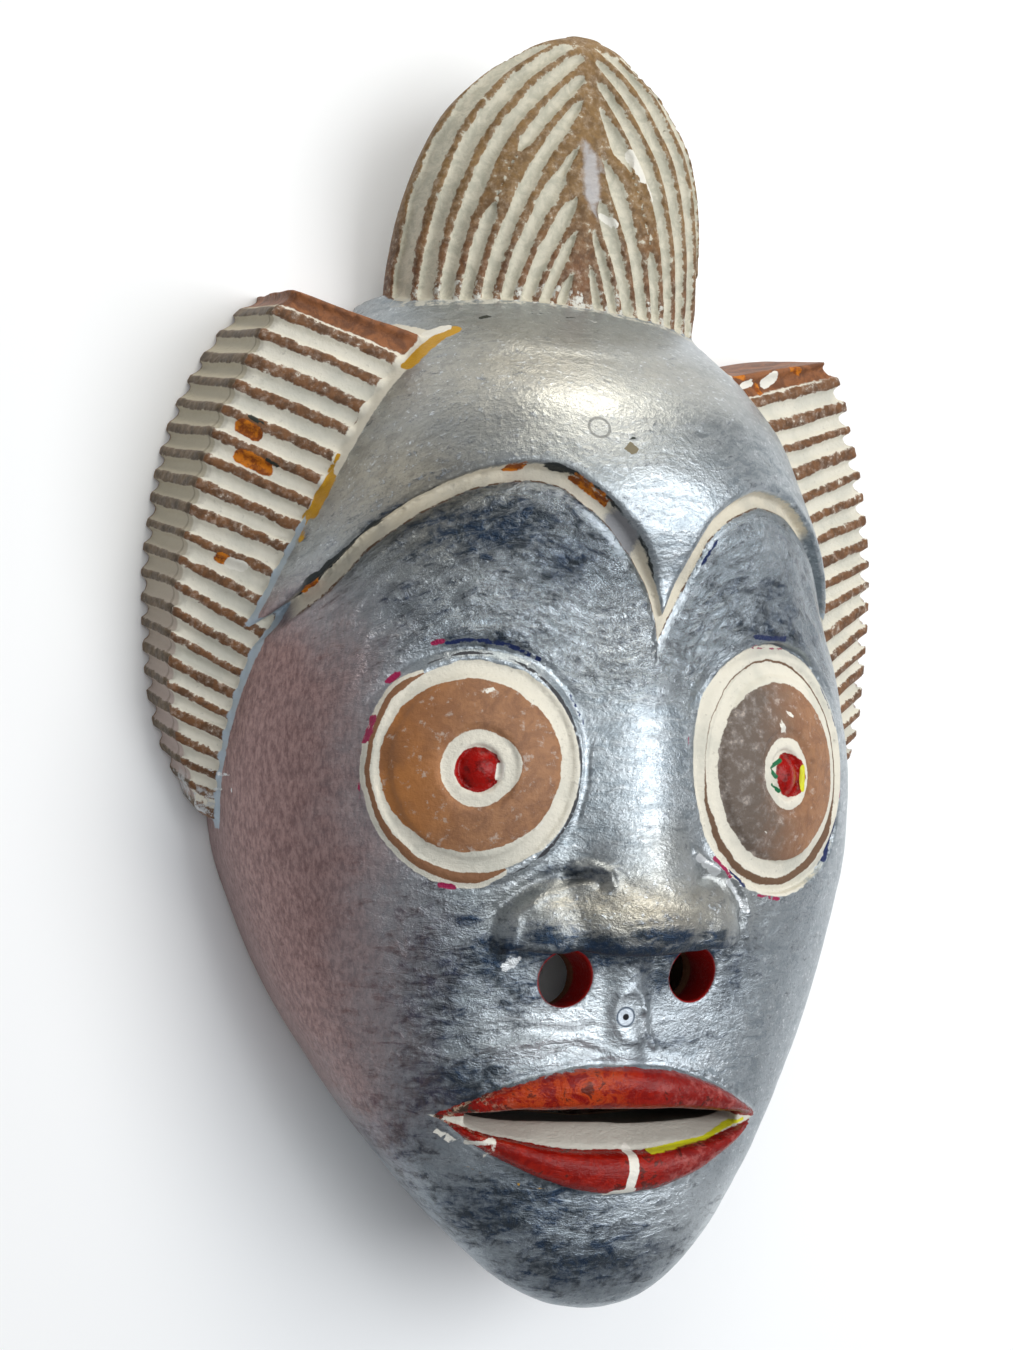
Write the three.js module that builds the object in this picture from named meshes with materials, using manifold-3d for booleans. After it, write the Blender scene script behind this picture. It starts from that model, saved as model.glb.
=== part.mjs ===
// A carved and painted wooden face mask with a ribbed crest of hair and a fluted lock on each side.
// Millimetres. X is the viewer's right, Y runs from chin to crest and Z points out of the face.
// The mask lies on its back with its rim on Z = 0. Heights along Y are measured from the eye line
// while it is carved, and the finished mask is moved so that its box is centred on the origin.

import * as THREE from 'three';
import { mergeVertices } from 'three/addons/utils/BufferGeometryUtils.js';
import Module from 'manifold-3d';

const wasm = await Module();
wasm.setup();

// Reach of the tools that cut everything away on one side
const CLEAR = 400;

// Head: rows of height, half width, level of the widest line, front level and depth behind that line
const HEAD_ROWS = [
  [-136.5, 5, 51, 54, 3],
  [-133.5, 14, 50.5, 57.5, 9],
  [-127, 25, 49, 61, 22],
  [-116, 37, 45, 64.5, 40],
  [-100, 50, 40, 67, 60],
  [-80, 63.5, 33, 69, 78],
  [-60, 75, 26, 71, 88],
  [-40, 83.5, 20, 75, 88],
  [-20, 89.5, 15, 78.5, 88],
  [0, 91.5, 12, 79, 88],
  [20, 89.5, 11, 77.5, 88],
  [40, 83, 9, 81, 88],
  [60, 75, 6, 87, 88],
  [80, 67, 4, 83, 88],
  [100, 60, 1, 66, 88],
  [115, 54, 0, 45, 88],
  [128, 47, 0, 27, 88],
];
const HEAD_ROUNDNESS = 2.15;
const HEAD_STEP = 10.5;
const CHIN_STEPS = [1.2, 4];
const FRONT_STEPS = 24;
const BACK_STEPS = 6;

// Hollow back: rows of height, half width and depth
const HOLLOW_ROWS = [
  [-108, 5, 14],
  [-101, 20, 32],
  [-86, 38, 47],
  [-65, 52, 55],
  [-40, 64, 59],
  [-10, 72, 61],
  [20, 73, 61],
  [50, 66, 64],
  [75, 52, 62],
  [94, 34, 47],
  [105, 10, 18],
];
const HOLLOW_POWER = 0.9;
const HOLLOW_SIDES = 24;

// Brow: where its two arcs meet, then rows of distance from there and height of the edge where the
// forehead stands proud
const BROW_MIDDLE = 2.8;
const BROW_LEFT = [
  [0, 34],
  [1.2, 39],
  [4, 46.5],
  [10, 54.2],
  [19, 62.6],
  [27, 67.8],
  [34, 69.1],
  [42, 68.2],
  [56, 62.4],
  [66, 55],
  [76, 43.6],
  [84, 36],
  [92, 30],
];
const BROW_RIGHT = [
  [0, 34],
  [2, 39.4],
  [6, 48],
  [12, 58.4],
  [20, 64.2],
  [30, 67.6],
  [40, 67],
  [50, 63],
  [62, 55.5],
  [74, 46],
  [86, 37],
];
const BROW_STEP = 3.5;
const BROW_STATIONS = 16;
const FOREHEAD_FROM = 16;

// Eyes: domed discs turned outwards, the right one larger, with rows of radius and level over the
// dome for their rings
const EYES = [
  { side: -1, x: 40, y: -2.5, z: 70.6, turn: 18, tall: 1.07, size: 1 },
  { side: 1, x: 43, y: -1, z: 67.6, turn: 21, tall: 1.04, size: 1.14 },
];
const EYE_DOME = 7;
const EYE_ROWS = [
  [5, -2.4],
  [5.4, -0.2],
  [8.9, -0.4],
  [9.7, 0.5],
  [15, 0.5],
  [20, 0.5],
  [20.8, -0.7],
  [23.3, -0.7],
  [23.9, 0.5],
  [25.1, 0.5],
  [26.8, 0],
];
const EYE_SIDES = 32;
const EYE_POCKET = 12;
const EYE_POCKET_GAP = 0.3;

// Nose: rows of height, half width and level of the bridge, then the lobes of tip and nostrils
const BRIDGE_ROWS = [
  [37, 12, 82],
  [22, 16, 81.5],
  [4, 18, 82.5],
  [-14, 20, 84],
  [-28, 22, 86],
  [-42, 24, 84],
];
const BRIDGE_ROOT = 60;
const BRIDGE_STATIONS = 9;
const BRIDGE_SIDES = 28;
const BALL_SIDES = 18;
const BALL_LEVELS = 12;
const NOSE_TIP = { x: 0, y: -38, z: 67, across: 25, along: 16, deep: 19.5 };
const NOSE_WINGS = [
  { x: -17.5, y: -41.5, z: 65.5, across: 18.5, along: 15.5, deep: 16 },
  { x: 15, y: -41.5, z: 66, across: 17, along: 16, deep: 16 },
];
const NOSE_BASE = { y: -45.5, z: 76, tilt: 12 };
const NOSTRIL = { middle: 1, side: 17.3, y: -52.8, radius: 6.6, tilt: 4 };
const NOSTRIL_REACH = 90;
const PHILTRUM = { top: -46, bottom: -72, across: 5.5, deep: 5, proud: 2 };

// Mouth: its middle and how far it rises for each millimetre to the right, then the heights of its
// edges at the middle, with the rise of each towards the corners
const MOUTH_MIDDLE = -1;
const MOUTH_TILT = -0.05;
const MOUTH_HALF = 43.5;
const LIP_EDGES = {
  upperTop: [-74, -13],
  upperLow: [-84.3, -3],
  lowerTop: [-94.8, 6.5],
  lowerLow: [-104.5, 16.5],
};
const LIP_PROUD = 6.5;
const LIP_ROOT = 12;
const LIP_STATIONS = 16;
const SLIT_HEIGHT = 5.2;
const SLIT_HALF = 37;
const SLIT_FLOOR = 18;
const LEDGE_DEPTH = 8;

// Crest: rows of height, half width, level of the widest line, front level and back level
const CREST_FOOT = 116;
const CREST_TOP = 198;
const CREST_ROWS = [
  [116, 46.5, 13, 40, -8],
  [130, 47, 15.5, 42.5, -6],
  [145, 46, 20, 45, 2],
  [160, 43, 26.5, 46.5, 13],
  [172, 38, 32, 47, 22],
  [184, 28, 37, 47, 31],
  [192, 17, 39.5, 46, 36],
  [195.2, 11.3, 40.9, 44.6, 38.9],
  [197.2, 5, 41.7, 43.2, 41],
  [198, 0, 42, 42.3, 41.8],
];
const CREST_GROOVES = 10;
const CREST_GROOVE_DEPTH = 1.7;
const CREST_RIB_SHARE = 0.34;
const CREST_LEVELS = 13;
const CREST_CROWDING = 1.6;
const CREST_ARCH = 1.5;
// Height at which the groove that starts that far from the middle meets the parting
const CREST_MEETS = [
  [0, 120],
  [5, 134],
  [10, 144.6],
  [15, 152],
  [20, 166],
  [25, 178],
  [30, 185],
  [35, 191],
  [40, 195.5],
  [46.5, 198],
];

// Side locks: rows of height on the ridge, x and z of the inner edge, of the ridge, x of the back
// edge, and how far the flute falls from the ridge to the face for each millimetre across
const LOCK_ROWS = [
  [-14, 88, 18, 94.5, 14, 95, 0.45],
  [4, 88, 24, 101, 17.5, 104, 0.48],
  [20, 85, 28, 104, 19.5, 107, 0.55],
  [40, 81, 33, 103.7, 23, 108.5, 0.6],
  [60, 75, 37, 101.5, 28, 107, 0.42],
  [80, 68.5, 40.5, 97, 32, 103, 0.43],
  [100, 59, 43.5, 89.5, 36.5, 94, 0.37],
  [111, 50, 44.5, 84.5, 39.5, 86, 0.31],
  [117.5, 46, 44.5, 79.5, 41, 79.5, 0.26],
];
const FLUTE_COUNT = 21;
const FLUTE_DEPTH = 1.9;
const FLUTE_BACK_RISE = 0.26;
const FLUTE_SHARE = [0, 0.3, 0.48, 0.82];
const FLUTE_LEVEL = [0, 0, -0.8, -0.8];
const LOCK_OVERLAP = 0.45;

// A smooth curve without overshoot through rows of position and value
function smoothCurve(rows, column = 1) {
  const slopeTo = (i) => (rows[i + 1][column] - rows[i][column]) / (rows[i + 1][0] - rows[i][0]);
  const last = rows.length - 1;
  const slopes = rows.map((row, i) => {
    if (i === 0) return slopeTo(0);
    if (i === last) return slopeTo(last - 1);
    const product = slopeTo(i - 1) * slopeTo(i);
    return product <= 0 ? 0 : (2 * product) / (slopeTo(i - 1) + slopeTo(i));
  });
  return (at) => {
    const held = THREE.MathUtils.clamp(at, rows[0][0], rows[last][0]);
    let i = 0;
    while (i < last - 1 && held > rows[i + 1][0]) i += 1;
    const span = rows[i + 1][0] - rows[i][0];
    const t = (held - rows[i][0]) / span;
    const bend = t * t * (3 - 2 * t);
    const start = slopes[i] * span * t * (1 - t) * (1 - t);
    const end = slopes[i + 1] * span * t * t * (t - 1);
    return rows[i][column] * (1 - bend) + rows[i + 1][column] * bend + start + end;
  };
}

const range = (count) => Array.from({ length: count }, (_, i) => i);
const signedPower = (value, power) => Math.sign(value) * Math.abs(value) ** power;

// Turns a closed geometry into a solid, with its faces pointing out
function solidOf(geometry) {
  const bare = geometry.clone();
  bare.deleteAttribute('normal');
  bare.deleteAttribute('uv');
  const merged = mergeVertices(bare, 1e-4);
  const position = merged.attributes.position.array;
  const corner = (i) => new THREE.Vector3().fromArray(position, 3 * i);
  const triangles = [];
  let volume = 0;
  for (let i = 0; i < merged.index.count; i += 3) {
    const [a, b, c] = [0, 1, 2].map((k) => merged.index.getX(i + k));
    if (a === b || b === c || c === a) continue;
    triangles.push([a, b, c]);
    volume += corner(a).dot(corner(b).cross(corner(c)));
  }
  if (volume < 0) triangles.forEach((triangle) => triangle.reverse());
  return new wasm.Manifold(
    new wasm.Mesh({
      numProp: 3,
      vertProperties: new Float32Array(position),
      triVerts: new Uint32Array(triangles.flat()),
    }),
  );
}

// A closed body through rings of equally many points, with a fan over each end ring
function loft(rings) {
  const size = rings[0].length;
  const points = rings.flat();
  const triangles = [];
  for (let i = 0; i + 1 < rings.length; i += 1) {
    for (let j = 0; j < size; j += 1) {
      const [a, b] = [i * size + j, i * size + ((j + 1) % size)];
      triangles.push(a, b, b + size, a, b + size, a + size);
    }
  }
  for (const [ring, turned] of [[0, true], [rings.length - 1, false]]) {
    const middle = new THREE.Vector3();
    rings[ring].forEach((point) => middle.addScaledVector(point, 1 / size));
    points.push(middle);
    for (let j = 0; j < size; j += 1) {
      const [a, b] = [ring * size + j, ring * size + ((j + 1) % size)];
      triangles.push(...(turned ? [b, a, points.length - 1] : [a, b, points.length - 1]));
    }
  }
  const geometry = new THREE.BufferGeometry().setFromPoints(points);
  geometry.setIndex(triangles);
  return solidOf(geometry);
}

// Head sections
const headSize = [1, 2, 3, 4].map((column) => smoothCurve(HEAD_ROWS, column));

function headRing(y, grow) {
  const [half, widest, front, back] = headSize.map((size) => size(y));
  const power = 2 / HEAD_ROUNDNESS;
  const angles = [
    ...range(FRONT_STEPS).map((i) => -0.5 + i / FRONT_STEPS),
    ...range(BACK_STEPS).map((i) => 0.5 + i / BACK_STEPS),
  ].map((share) => share * Math.PI);
  return angles.map((angle) => {
    const reach = Math.cos(angle) > 0 ? front - widest + grow : back;
    const x = (half + grow) * signedPower(Math.sin(angle), power);
    return new THREE.Vector3(x, y, widest + reach * signedPower(Math.cos(angle), power));
  });
}

// Level of the head's front at a point of the face
function headLevel(x, y) {
  const [half, widest, front] = headSize.map((size) => size(y));
  const across = Math.min(Math.abs(x) / half, 1);
  return widest + (front - widest) * (1 - across ** HEAD_ROUNDNESS) ** (1 / HEAD_ROUNDNESS);
}

function headBody(from, to, grow) {
  const count = Math.round((to - from) / HEAD_STEP);
  const heights = range(count + 1).map((i) => from + ((to - from) * i) / count);
  if (from === HEAD_ROWS[0][0]) heights.splice(1, 0, ...CHIN_STEPS.map((step) => from + step));
  return loft(heights.map((y) => headRing(y, grow)));
}

// Forehead: the head grown by the brow step and kept only above the brow's edge
function forehead() {
  const [left, right] = [BROW_LEFT, BROW_RIGHT].map((rows) => smoothCurve(rows));
  const [leftReach, rightReach] = [BROW_LEFT.at(-1)[0], BROW_RIGHT.at(-1)[0]];
  const shares = range(BROW_STATIONS + 1).map((i) => (i / BROW_STATIONS) ** 1.4);
  const outline = new THREE.Shape();
  outline.moveTo(BROW_MIDDLE - leftReach, CLEAR);
  for (const share of [...shares].reverse()) {
    outline.lineTo(BROW_MIDDLE - leftReach * share, left(leftReach * share));
  }
  for (const share of shares.slice(1)) {
    outline.lineTo(BROW_MIDDLE + rightReach * share, right(rightReach * share));
  }
  outline.lineTo(BROW_MIDDLE + rightReach, CLEAR);
  const prism = new THREE.ExtrudeGeometry(outline, { depth: CLEAR, bevelEnabled: false });
  return headBody(FOREHEAD_FROM, HEAD_ROWS.at(-1)[0], BROW_STEP).intersect(solidOf(prism));
}

// Eyes
function eyePlaced(geometry, { side, x, y, z, turn, tall, size }) {
  geometry.rotateX(Math.PI / 2);
  geometry.scale(size, size * tall, 1);
  geometry.rotateY(side * THREE.MathUtils.degToRad(turn));
  geometry.translate(side * x, y, z);
  return solidOf(geometry);
}

function eyeDisc(eye) {
  const rim = EYE_ROWS.at(-1);
  const domed = (radius) => EYE_DOME * (1 - (radius / rim[0]) ** 2);
  const profile = [
    new THREE.Vector2(0, -EYE_POCKET),
    new THREE.Vector2(rim[0], -EYE_POCKET),
    ...[...EYE_ROWS].reverse().map(([radius, level]) => new THREE.Vector2(radius, level + domed(radius))),
    new THREE.Vector2(0, EYE_ROWS[0][1] + EYE_DOME),
  ];
  return eyePlaced(new THREE.LatheGeometry(profile, EYE_SIDES), eye);
}

function eyePocket(eye) {
  const radius = EYE_ROWS.at(-1)[0] + EYE_POCKET_GAP;
  const pocket = new THREE.CylinderGeometry(radius, radius, EYE_POCKET, EYE_SIDES);
  pocket.translate(0, EYE_POCKET / 2, 0);
  return eyePlaced(pocket, eye);
}

// Nose
function ellipsoid({ x, y, z, across, along, deep }) {
  const ball = new THREE.SphereGeometry(1, BALL_SIDES, BALL_LEVELS);
  ball.scale(across, along, deep);
  ball.translate(x, y, z);
  return solidOf(ball);
}

function noseBridge() {
  const rows = [...BRIDGE_ROWS].reverse();
  const size = [1, 2].map((column) => smoothCurve(rows, column));
  const [low, high] = [rows[0][0], rows.at(-1)[0]];
  const rings = range(BRIDGE_STATIONS + 1).map((k) => {
    const y = low + ((high - low) * k) / BRIDGE_STATIONS;
    const [half, level] = size.map((value) => value(y));
    return range(BRIDGE_SIDES).map((i) => {
      const angle = (i / BRIDGE_SIDES) * 2 * Math.PI;
      const z = BRIDGE_ROOT + (level - BRIDGE_ROOT) * Math.cos(angle);
      return new THREE.Vector3(half * Math.sin(angle), y, z);
    });
  });
  return loft(rings);
}

function nose() {
  const below = new THREE.BoxGeometry(CLEAR, CLEAR, CLEAR);
  below.translate(0, -CLEAR / 2, 0);
  below.rotateX(THREE.MathUtils.degToRad(NOSE_BASE.tilt));
  below.translate(0, NOSE_BASE.y, NOSE_BASE.z);
  return noseBridge()
    .add(ellipsoid(NOSE_TIP))
    .add(ellipsoid(NOSE_WINGS[0]))
    .add(ellipsoid(NOSE_WINGS[1]))
    .subtract(solidOf(below));
}

function nostril(side) {
  const drill = new THREE.CylinderGeometry(NOSTRIL.radius, NOSTRIL.radius, NOSTRIL_REACH, 18);
  drill.rotateX(Math.PI / 2 - THREE.MathUtils.degToRad(NOSTRIL.tilt));
  const x = NOSTRIL.middle + side * NOSTRIL.side;
  drill.translate(x, NOSTRIL.y, headLevel(x, NOSTRIL.y));
  return solidOf(drill);
}

function philtrum() {
  const { top, bottom, across, deep, proud } = PHILTRUM;
  const rings = range(5).map((i) => {
    const y = top + ((bottom - top) * i) / 4;
    const level = headLevel(0, y) + proud - deep;
    return range(12).map((j) => {
      const angle = (j / 12) * 2 * Math.PI;
      return new THREE.Vector3(across * Math.sin(angle), y, level + deep * Math.cos(angle));
    });
  });
  return loft(rings);
}

// Lips
function lipEdge([middle, rise], x) {
  const across = x - MOUTH_MIDDLE;
  return middle + rise * (across / MOUTH_HALF) ** 2 + MOUTH_TILT * across;
}

function lip(top, low) {
  const rings = range(LIP_STATIONS + 1).map((i) => {
    const across = Math.sin((i / LIP_STATIONS - 0.5) * Math.PI);
    const x = MOUTH_MIDDLE + MOUTH_HALF * across;
    const fullness = LIP_PROUD * Math.sqrt(Math.max(1 - across ** 2, 0.01));
    const [y0, y1] = [lipEdge(top, x), lipEdge(low, x)];
    const at = (share, proud) => {
      const y = y0 + (y1 - y0) * share;
      return new THREE.Vector3(x, y, headLevel(x, y) + proud);
    };
    return [
      at(0, 0.55 * fullness),
      at(0.2, 0.85 * fullness),
      at(0.5, fullness),
      at(0.8, 0.9 * fullness),
      at(1, 0.6 * fullness),
      at(1, -LIP_ROOT),
      at(0, -LIP_ROOT),
    ];
  });
  return loft(rings);
}

function mouthSlit() {
  const rings = range(LIP_STATIONS + 1).map((i) => {
    const across = 2 * (i / LIP_STATIONS) - 1;
    const x = MOUTH_MIDDLE + SLIT_HALF * across;
    const top = lipEdge(LIP_EDGES.upperLow, x);
    const low = lipEdge(LIP_EDGES.lowerTop, x);
    const level = headLevel(x, low);
    const slit = top - SLIT_HEIGHT * Math.sqrt(1.02 - across ** 2);
    const point = (y, z) => new THREE.Vector3(x, y, z);
    return [
      point(top, CLEAR),
      point(top, SLIT_FLOOR),
      point(slit, SLIT_FLOOR),
      point(slit, level - LEDGE_DEPTH),
      point(low, level + 2),
      point(low, CLEAR),
    ];
  });
  return loft(rings);
}

// Crest: ribs and grooves that rise from the foot and lean in to the parting, like nested arches
const crestSize = [1, 2, 3, 4].map((column) => smoothCurve(CREST_ROWS, column));
const crestMeets = smoothCurve(CREST_MEETS);

function crestPoint(foot, rise) {
  const outer = CREST_ROWS[0][1];
  const share = Math.abs(foot) / outer;
  const y = THREE.MathUtils.lerp(CREST_FOOT, crestMeets(Math.abs(foot)), rise);
  const outline = crestSize[0](CREST_FOOT + (CREST_TOP - CREST_FOOT) * rise) / outer;
  const lean = THREE.MathUtils.lerp(1 - rise ** (1 + CREST_ARCH * share), outline, share ** 3);
  return new THREE.Vector2(rise < 1 ? foot * lean : 0, y);
}

function crestFront(x, y) {
  const [half, widest, front] = crestSize.map((size) => size(y));
  const across = x === 0 ? 0 : Math.min(Math.abs(x) / half, 1);
  return widest + (front - widest) * Math.sqrt(1 - across * across);
}

function crest() {
  const outer = CREST_ROWS[0][1];
  const pitch = outer / CREST_GROOVES;
  const feet = range(CREST_GROOVES).flatMap((k) =>
    [0.5 * CREST_RIB_SHARE, 0.5, 1 - 0.5 * CREST_RIB_SHARE].map((share) => (k + share) * pitch),
  );
  const half = [...feet, outer];
  const columns = [...[...half].reverse().map((foot) => -foot), ...half];
  const levels = range(CREST_LEVELS + 1).map((i) => 1 - (1 - i / CREST_LEVELS) ** CREST_CROWDING);
  const depthAt = (foot) => {
    const inPitch = (Math.abs(foot) / pitch) % 1;
    return Math.abs(inPitch - 0.5) < 0.01 ? CREST_GROOVE_DEPTH : 0;
  };
  const points = [];
  for (const rise of levels) {
    for (const foot of columns) {
      const { x, y } = crestPoint(foot, rise);
      const [wide, widest, front] = crestSize.map((size) => size(y));
      const z = crestFront(x, y);
      const slant = x === 0 ? 0 : x / wide ** 2;
      const away = new THREE.Vector2(slant, (z - widest) / (front - widest) ** 2).normalize();
      const fade = Math.min(1, 6 * (1 - rise), Math.max(0, (y - CREST_FOOT) / 5));
      const sunk = depthAt(foot) * fade;
      points.push(new THREE.Vector3(x - sunk * away.x, y, z - sunk * away.y));
    }
  }
  const wide = columns.length;
  const triangles = [];
  for (let i = 0; i < CREST_LEVELS; i += 1) {
    for (let j = 0; j + 1 < wide; j += 1) {
      const a = i * wide + j;
      triangles.push(a, a + 1, a + wide + 1, a, a + wide + 1, a + wide);
    }
  }
  const backShares = [-0.94, -0.7, 0, 0.7, 0.94];
  const behind = points.length;
  for (const rise of levels) {
    const y = CREST_FOOT + (CREST_TOP - CREST_FOOT) * rise;
    const [halfHere, widest, , back] = crestSize.map((size) => size(y));
    for (const share of backShares) {
      const z = widest - (widest - back) * Math.sqrt(1 - share * share);
      points.push(new THREE.Vector3(halfHere * share, y, z));
    }
  }
  const backRow = (i) => [
    i * wide,
    ...backShares.map((_, k) => behind + i * backShares.length + k),
    i * wide + wide - 1,
  ];
  for (let i = 0; i < CREST_LEVELS; i += 1) {
    const [low, high] = [backRow(i), backRow(i + 1)];
    for (let k = 0; k + 1 < low.length; k += 1) {
      triangles.push(low[k], high[k + 1], low[k + 1], low[k], high[k], high[k + 1]);
    }
  }
  const foot = [...range(wide), ...backRow(0).slice(1, -1).reverse()];
  points.push(new THREE.Vector3(0, CREST_FOOT, CREST_ROWS[0][2]));
  foot.forEach((point, k) => triangles.push(foot[(k + 1) % foot.length], point, points.length - 1));
  const geometry = new THREE.BufferGeometry().setFromPoints(points);
  geometry.setIndex(triangles);
  return solidOf(geometry);
}

// Side locks: each flute runs from the face over the ridge and on to the back edge
function lock(side) {
  const size = [1, 2, 3, 4, 5, 6].map((column) => smoothCurve(LOCK_ROWS, column));
  const [low, high] = [LOCK_ROWS[0][0], LOCK_ROWS.at(-1)[0]];
  const pitch = (high - low) / FLUTE_COUNT;
  const rings = [];
  for (let k = 0; k <= FLUTE_COUNT; k += 1) {
    for (const [n, share] of FLUTE_SHARE.entries()) {
      if (k === FLUTE_COUNT && n > 1) break;
      const y = low + (k + share) * pitch;
      const [innerX, innerZ, ridgeX, ridgeZ, backX, slope] = size.map((value) => value(y));
      const taper = Math.min(1, (k + share) / 3);
      const sunk = FLUTE_LEVEL[n] * FLUTE_DEPTH * taper;
      const fall = slope * (ridgeX - innerX);
      const overX = innerX - LOCK_OVERLAP * (ridgeX - innerX);
      const overZ = Math.max(innerZ + LOCK_OVERLAP * (innerZ - ridgeZ) - 4, 6);
      const point = (x, height, z) => new THREE.Vector3(side * x, height, z);
      rings.push([
        point(overX, y - (1 + LOCK_OVERLAP) * fall, -6),
        point(overX, y - (1 + LOCK_OVERLAP) * fall, overZ + sunk),
        point(innerX, y - fall, innerZ + sunk),
        point(ridgeX + 0.5 * sunk, y, ridgeZ + 0.8 * sunk),
        point(backX + sunk, y + FLUTE_BACK_RISE * ridgeZ, 0),
        point(backX + sunk, y + FLUTE_BACK_RISE * ridgeZ, -6),
      ]);
    }
  }
  return loft(rings);
}

// Hollow back
function hollow() {
  const size = [1, 2].map((column) => smoothCurve(HOLLOW_ROWS, column));
  const rings = HOLLOW_ROWS.map(([y]) =>
    range(HOLLOW_SIDES).map((i) => {
      const angle = (i / HOLLOW_SIDES) * 2 * Math.PI;
      const x = size[0](y) * Math.sin(angle);
      return new THREE.Vector3(x, y, size[1](y) * signedPower(Math.cos(angle), HOLLOW_POWER));
    }),
  );
  return loft(rings);
}

// The whole mask, carved from one block
function carvedMask() {
  let wood = headBody(HEAD_ROWS[0][0], HEAD_ROWS.at(-1)[0], 0).add(forehead());
  for (const eye of EYES) {
    wood = wood.subtract(eyePocket(eye)).add(eyeDisc(eye));
  }
  wood = wood.add(lock(-1)).add(lock(1)).add(nose()).add(philtrum()).add(crest());
  wood = wood.add(lip(LIP_EDGES.upperTop, LIP_EDGES.upperLow));
  wood = wood.add(lip(LIP_EDGES.lowerTop, LIP_EDGES.lowerLow));
  wood = wood.subtract(mouthSlit()).subtract(hollow());
  wood = wood.subtract(nostril(-1)).subtract(nostril(1));
  const under = new THREE.BoxGeometry(CLEAR, CLEAR, CLEAR);
  under.translate(0, 0, -CLEAR / 2);
  return wood.subtract(solidOf(under));
}

function geometryOf(solid) {
  const mesh = solid.getMesh();
  const geometry = new THREE.BufferGeometry();
  geometry.setAttribute('position', new THREE.BufferAttribute(mesh.vertProperties, 3));
  geometry.setIndex(new THREE.BufferAttribute(mesh.triVerts, 1));
  return geometry;
}

const paintedWood = new THREE.MeshStandardMaterial({ color: 0x9aa2ab, roughness: 0.42, metalness: 0.6 });
const mask = new THREE.Mesh(geometryOf(carvedMask()), paintedWood);
mask.name = 'mask';
mask.geometry.computeBoundingBox();
const middle = mask.geometry.boundingBox.getCenter(new THREE.Vector3());
mask.position.set(-middle.x, -middle.y, 0);

const object = new THREE.Group();
object.add(mask);

export default object;
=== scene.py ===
import math

import bpy
import numpy as np
from mathutils import Euler, Matrix, Vector


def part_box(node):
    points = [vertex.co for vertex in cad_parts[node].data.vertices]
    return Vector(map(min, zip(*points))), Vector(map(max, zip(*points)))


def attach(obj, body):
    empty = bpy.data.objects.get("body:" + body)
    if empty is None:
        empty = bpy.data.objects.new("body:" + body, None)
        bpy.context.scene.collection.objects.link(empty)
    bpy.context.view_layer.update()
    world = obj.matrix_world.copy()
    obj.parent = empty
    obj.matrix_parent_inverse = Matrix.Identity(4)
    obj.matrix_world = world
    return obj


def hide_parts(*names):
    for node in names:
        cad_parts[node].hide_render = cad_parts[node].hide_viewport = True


# A carved and painted wooden face mask. The forms below are the same as the solid's, in millimetres
# with heights along y from the eye line, and the mask is moved into the frame at the end.
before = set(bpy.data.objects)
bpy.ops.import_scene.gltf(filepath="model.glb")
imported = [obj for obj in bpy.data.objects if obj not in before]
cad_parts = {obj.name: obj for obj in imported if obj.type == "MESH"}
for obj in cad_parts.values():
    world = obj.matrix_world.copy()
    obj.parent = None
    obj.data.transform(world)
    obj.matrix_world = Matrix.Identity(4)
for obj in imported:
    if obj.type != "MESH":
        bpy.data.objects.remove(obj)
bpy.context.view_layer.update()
cad_low, cad_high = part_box("mask")

# The grid for the surface: its step, the steps in a block and the room around the mask
GRID = 0.85
BLOCK = 5
GRID_MARGIN = 3
CELLS_AT_ONCE = 400_000
MOST_TRIANGLES = 190_000

CHIN_END, CREST_TOP = -136.5, 198
MASK_HALF, MASK_DEEP = 108, 90
SHIFT_Y = 1000 * cad_high.y - CREST_TOP

# Sections of the head: height, half width, z where it is widest, z of its front, reach of its back
HEAD_ROWS = [
    (-136.5, 5, 51, 54, 3), (-133.5, 14, 50.5, 57.5, 9), (-127, 25, 49, 61, 22), (-116, 37, 45, 64.5, 40),
    (-100, 50, 40, 67, 60), (-80, 63.5, 33, 69, 78), (-60, 75, 26, 71, 88), (-40, 83.5, 20, 75, 88),
    (-20, 89.5, 15, 78.5, 88), (0, 91.5, 12, 79, 88), (20, 89.5, 11, 77.5, 88), (40, 83, 9, 81, 88),
    (60, 75, 6, 87, 88), (80, 67, 4, 83, 88), (100, 60, 1, 66, 88), (115, 54, 0, 45, 88),
    (128, 47, 0, 27, 88),
]
HEAD_POWER = 2.15
# The hollow back: power of its round section, then height, half width, depth
HOLLOW_POWER = 2 / 0.9
HOLLOW_ROWS = [
    (-108, 5, 14), (-101, 20, 32), (-86, 38, 47), (-65, 52, 55), (-40, 64, 59), (-10, 72, 61),
    (20, 73, 61), (50, 66, 64), (75, 52, 62), (94, 34, 47), (105, 10, 18),
]
# The brow: distance from where its two arcs meet and height of its edge
BROW_MIDDLE = 2.8
BROW_LEFT = [
    (0, 34), (1.2, 39), (4, 46.5), (10, 54.2), (19, 62.6), (27, 67.8), (34, 69.1), (42, 68.2),
    (56, 62.4), (66, 55), (76, 43.6), (84, 36), (92, 30),
]
BROW_RIGHT = [
    (0, 34), (2, 39.4), (6, 48), (12, 58.4), (20, 64.2), (30, 67.6), (40, 67), (50, 63), (62, 55.5),
    (74, 46), (86, 37),
]
# Width of the channel under the edge along x, then its profile: distance above the edge and height
CHANNEL_WIDE = [(-60, 3.9), (-20, 4.1), (-8, 3.4), (0, 2.2), (2.8, 1.7), (5, 2.6), (9, 3.9), (60, 3.8)]
BROW_PROFILE = [
    (-6, 0), (-4.4, 0.3), (-3.6, -0.3), (-3, -0.7), (-0.6, -0.8), (0.2, 2.9), (1.2, 3.5),
]
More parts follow.
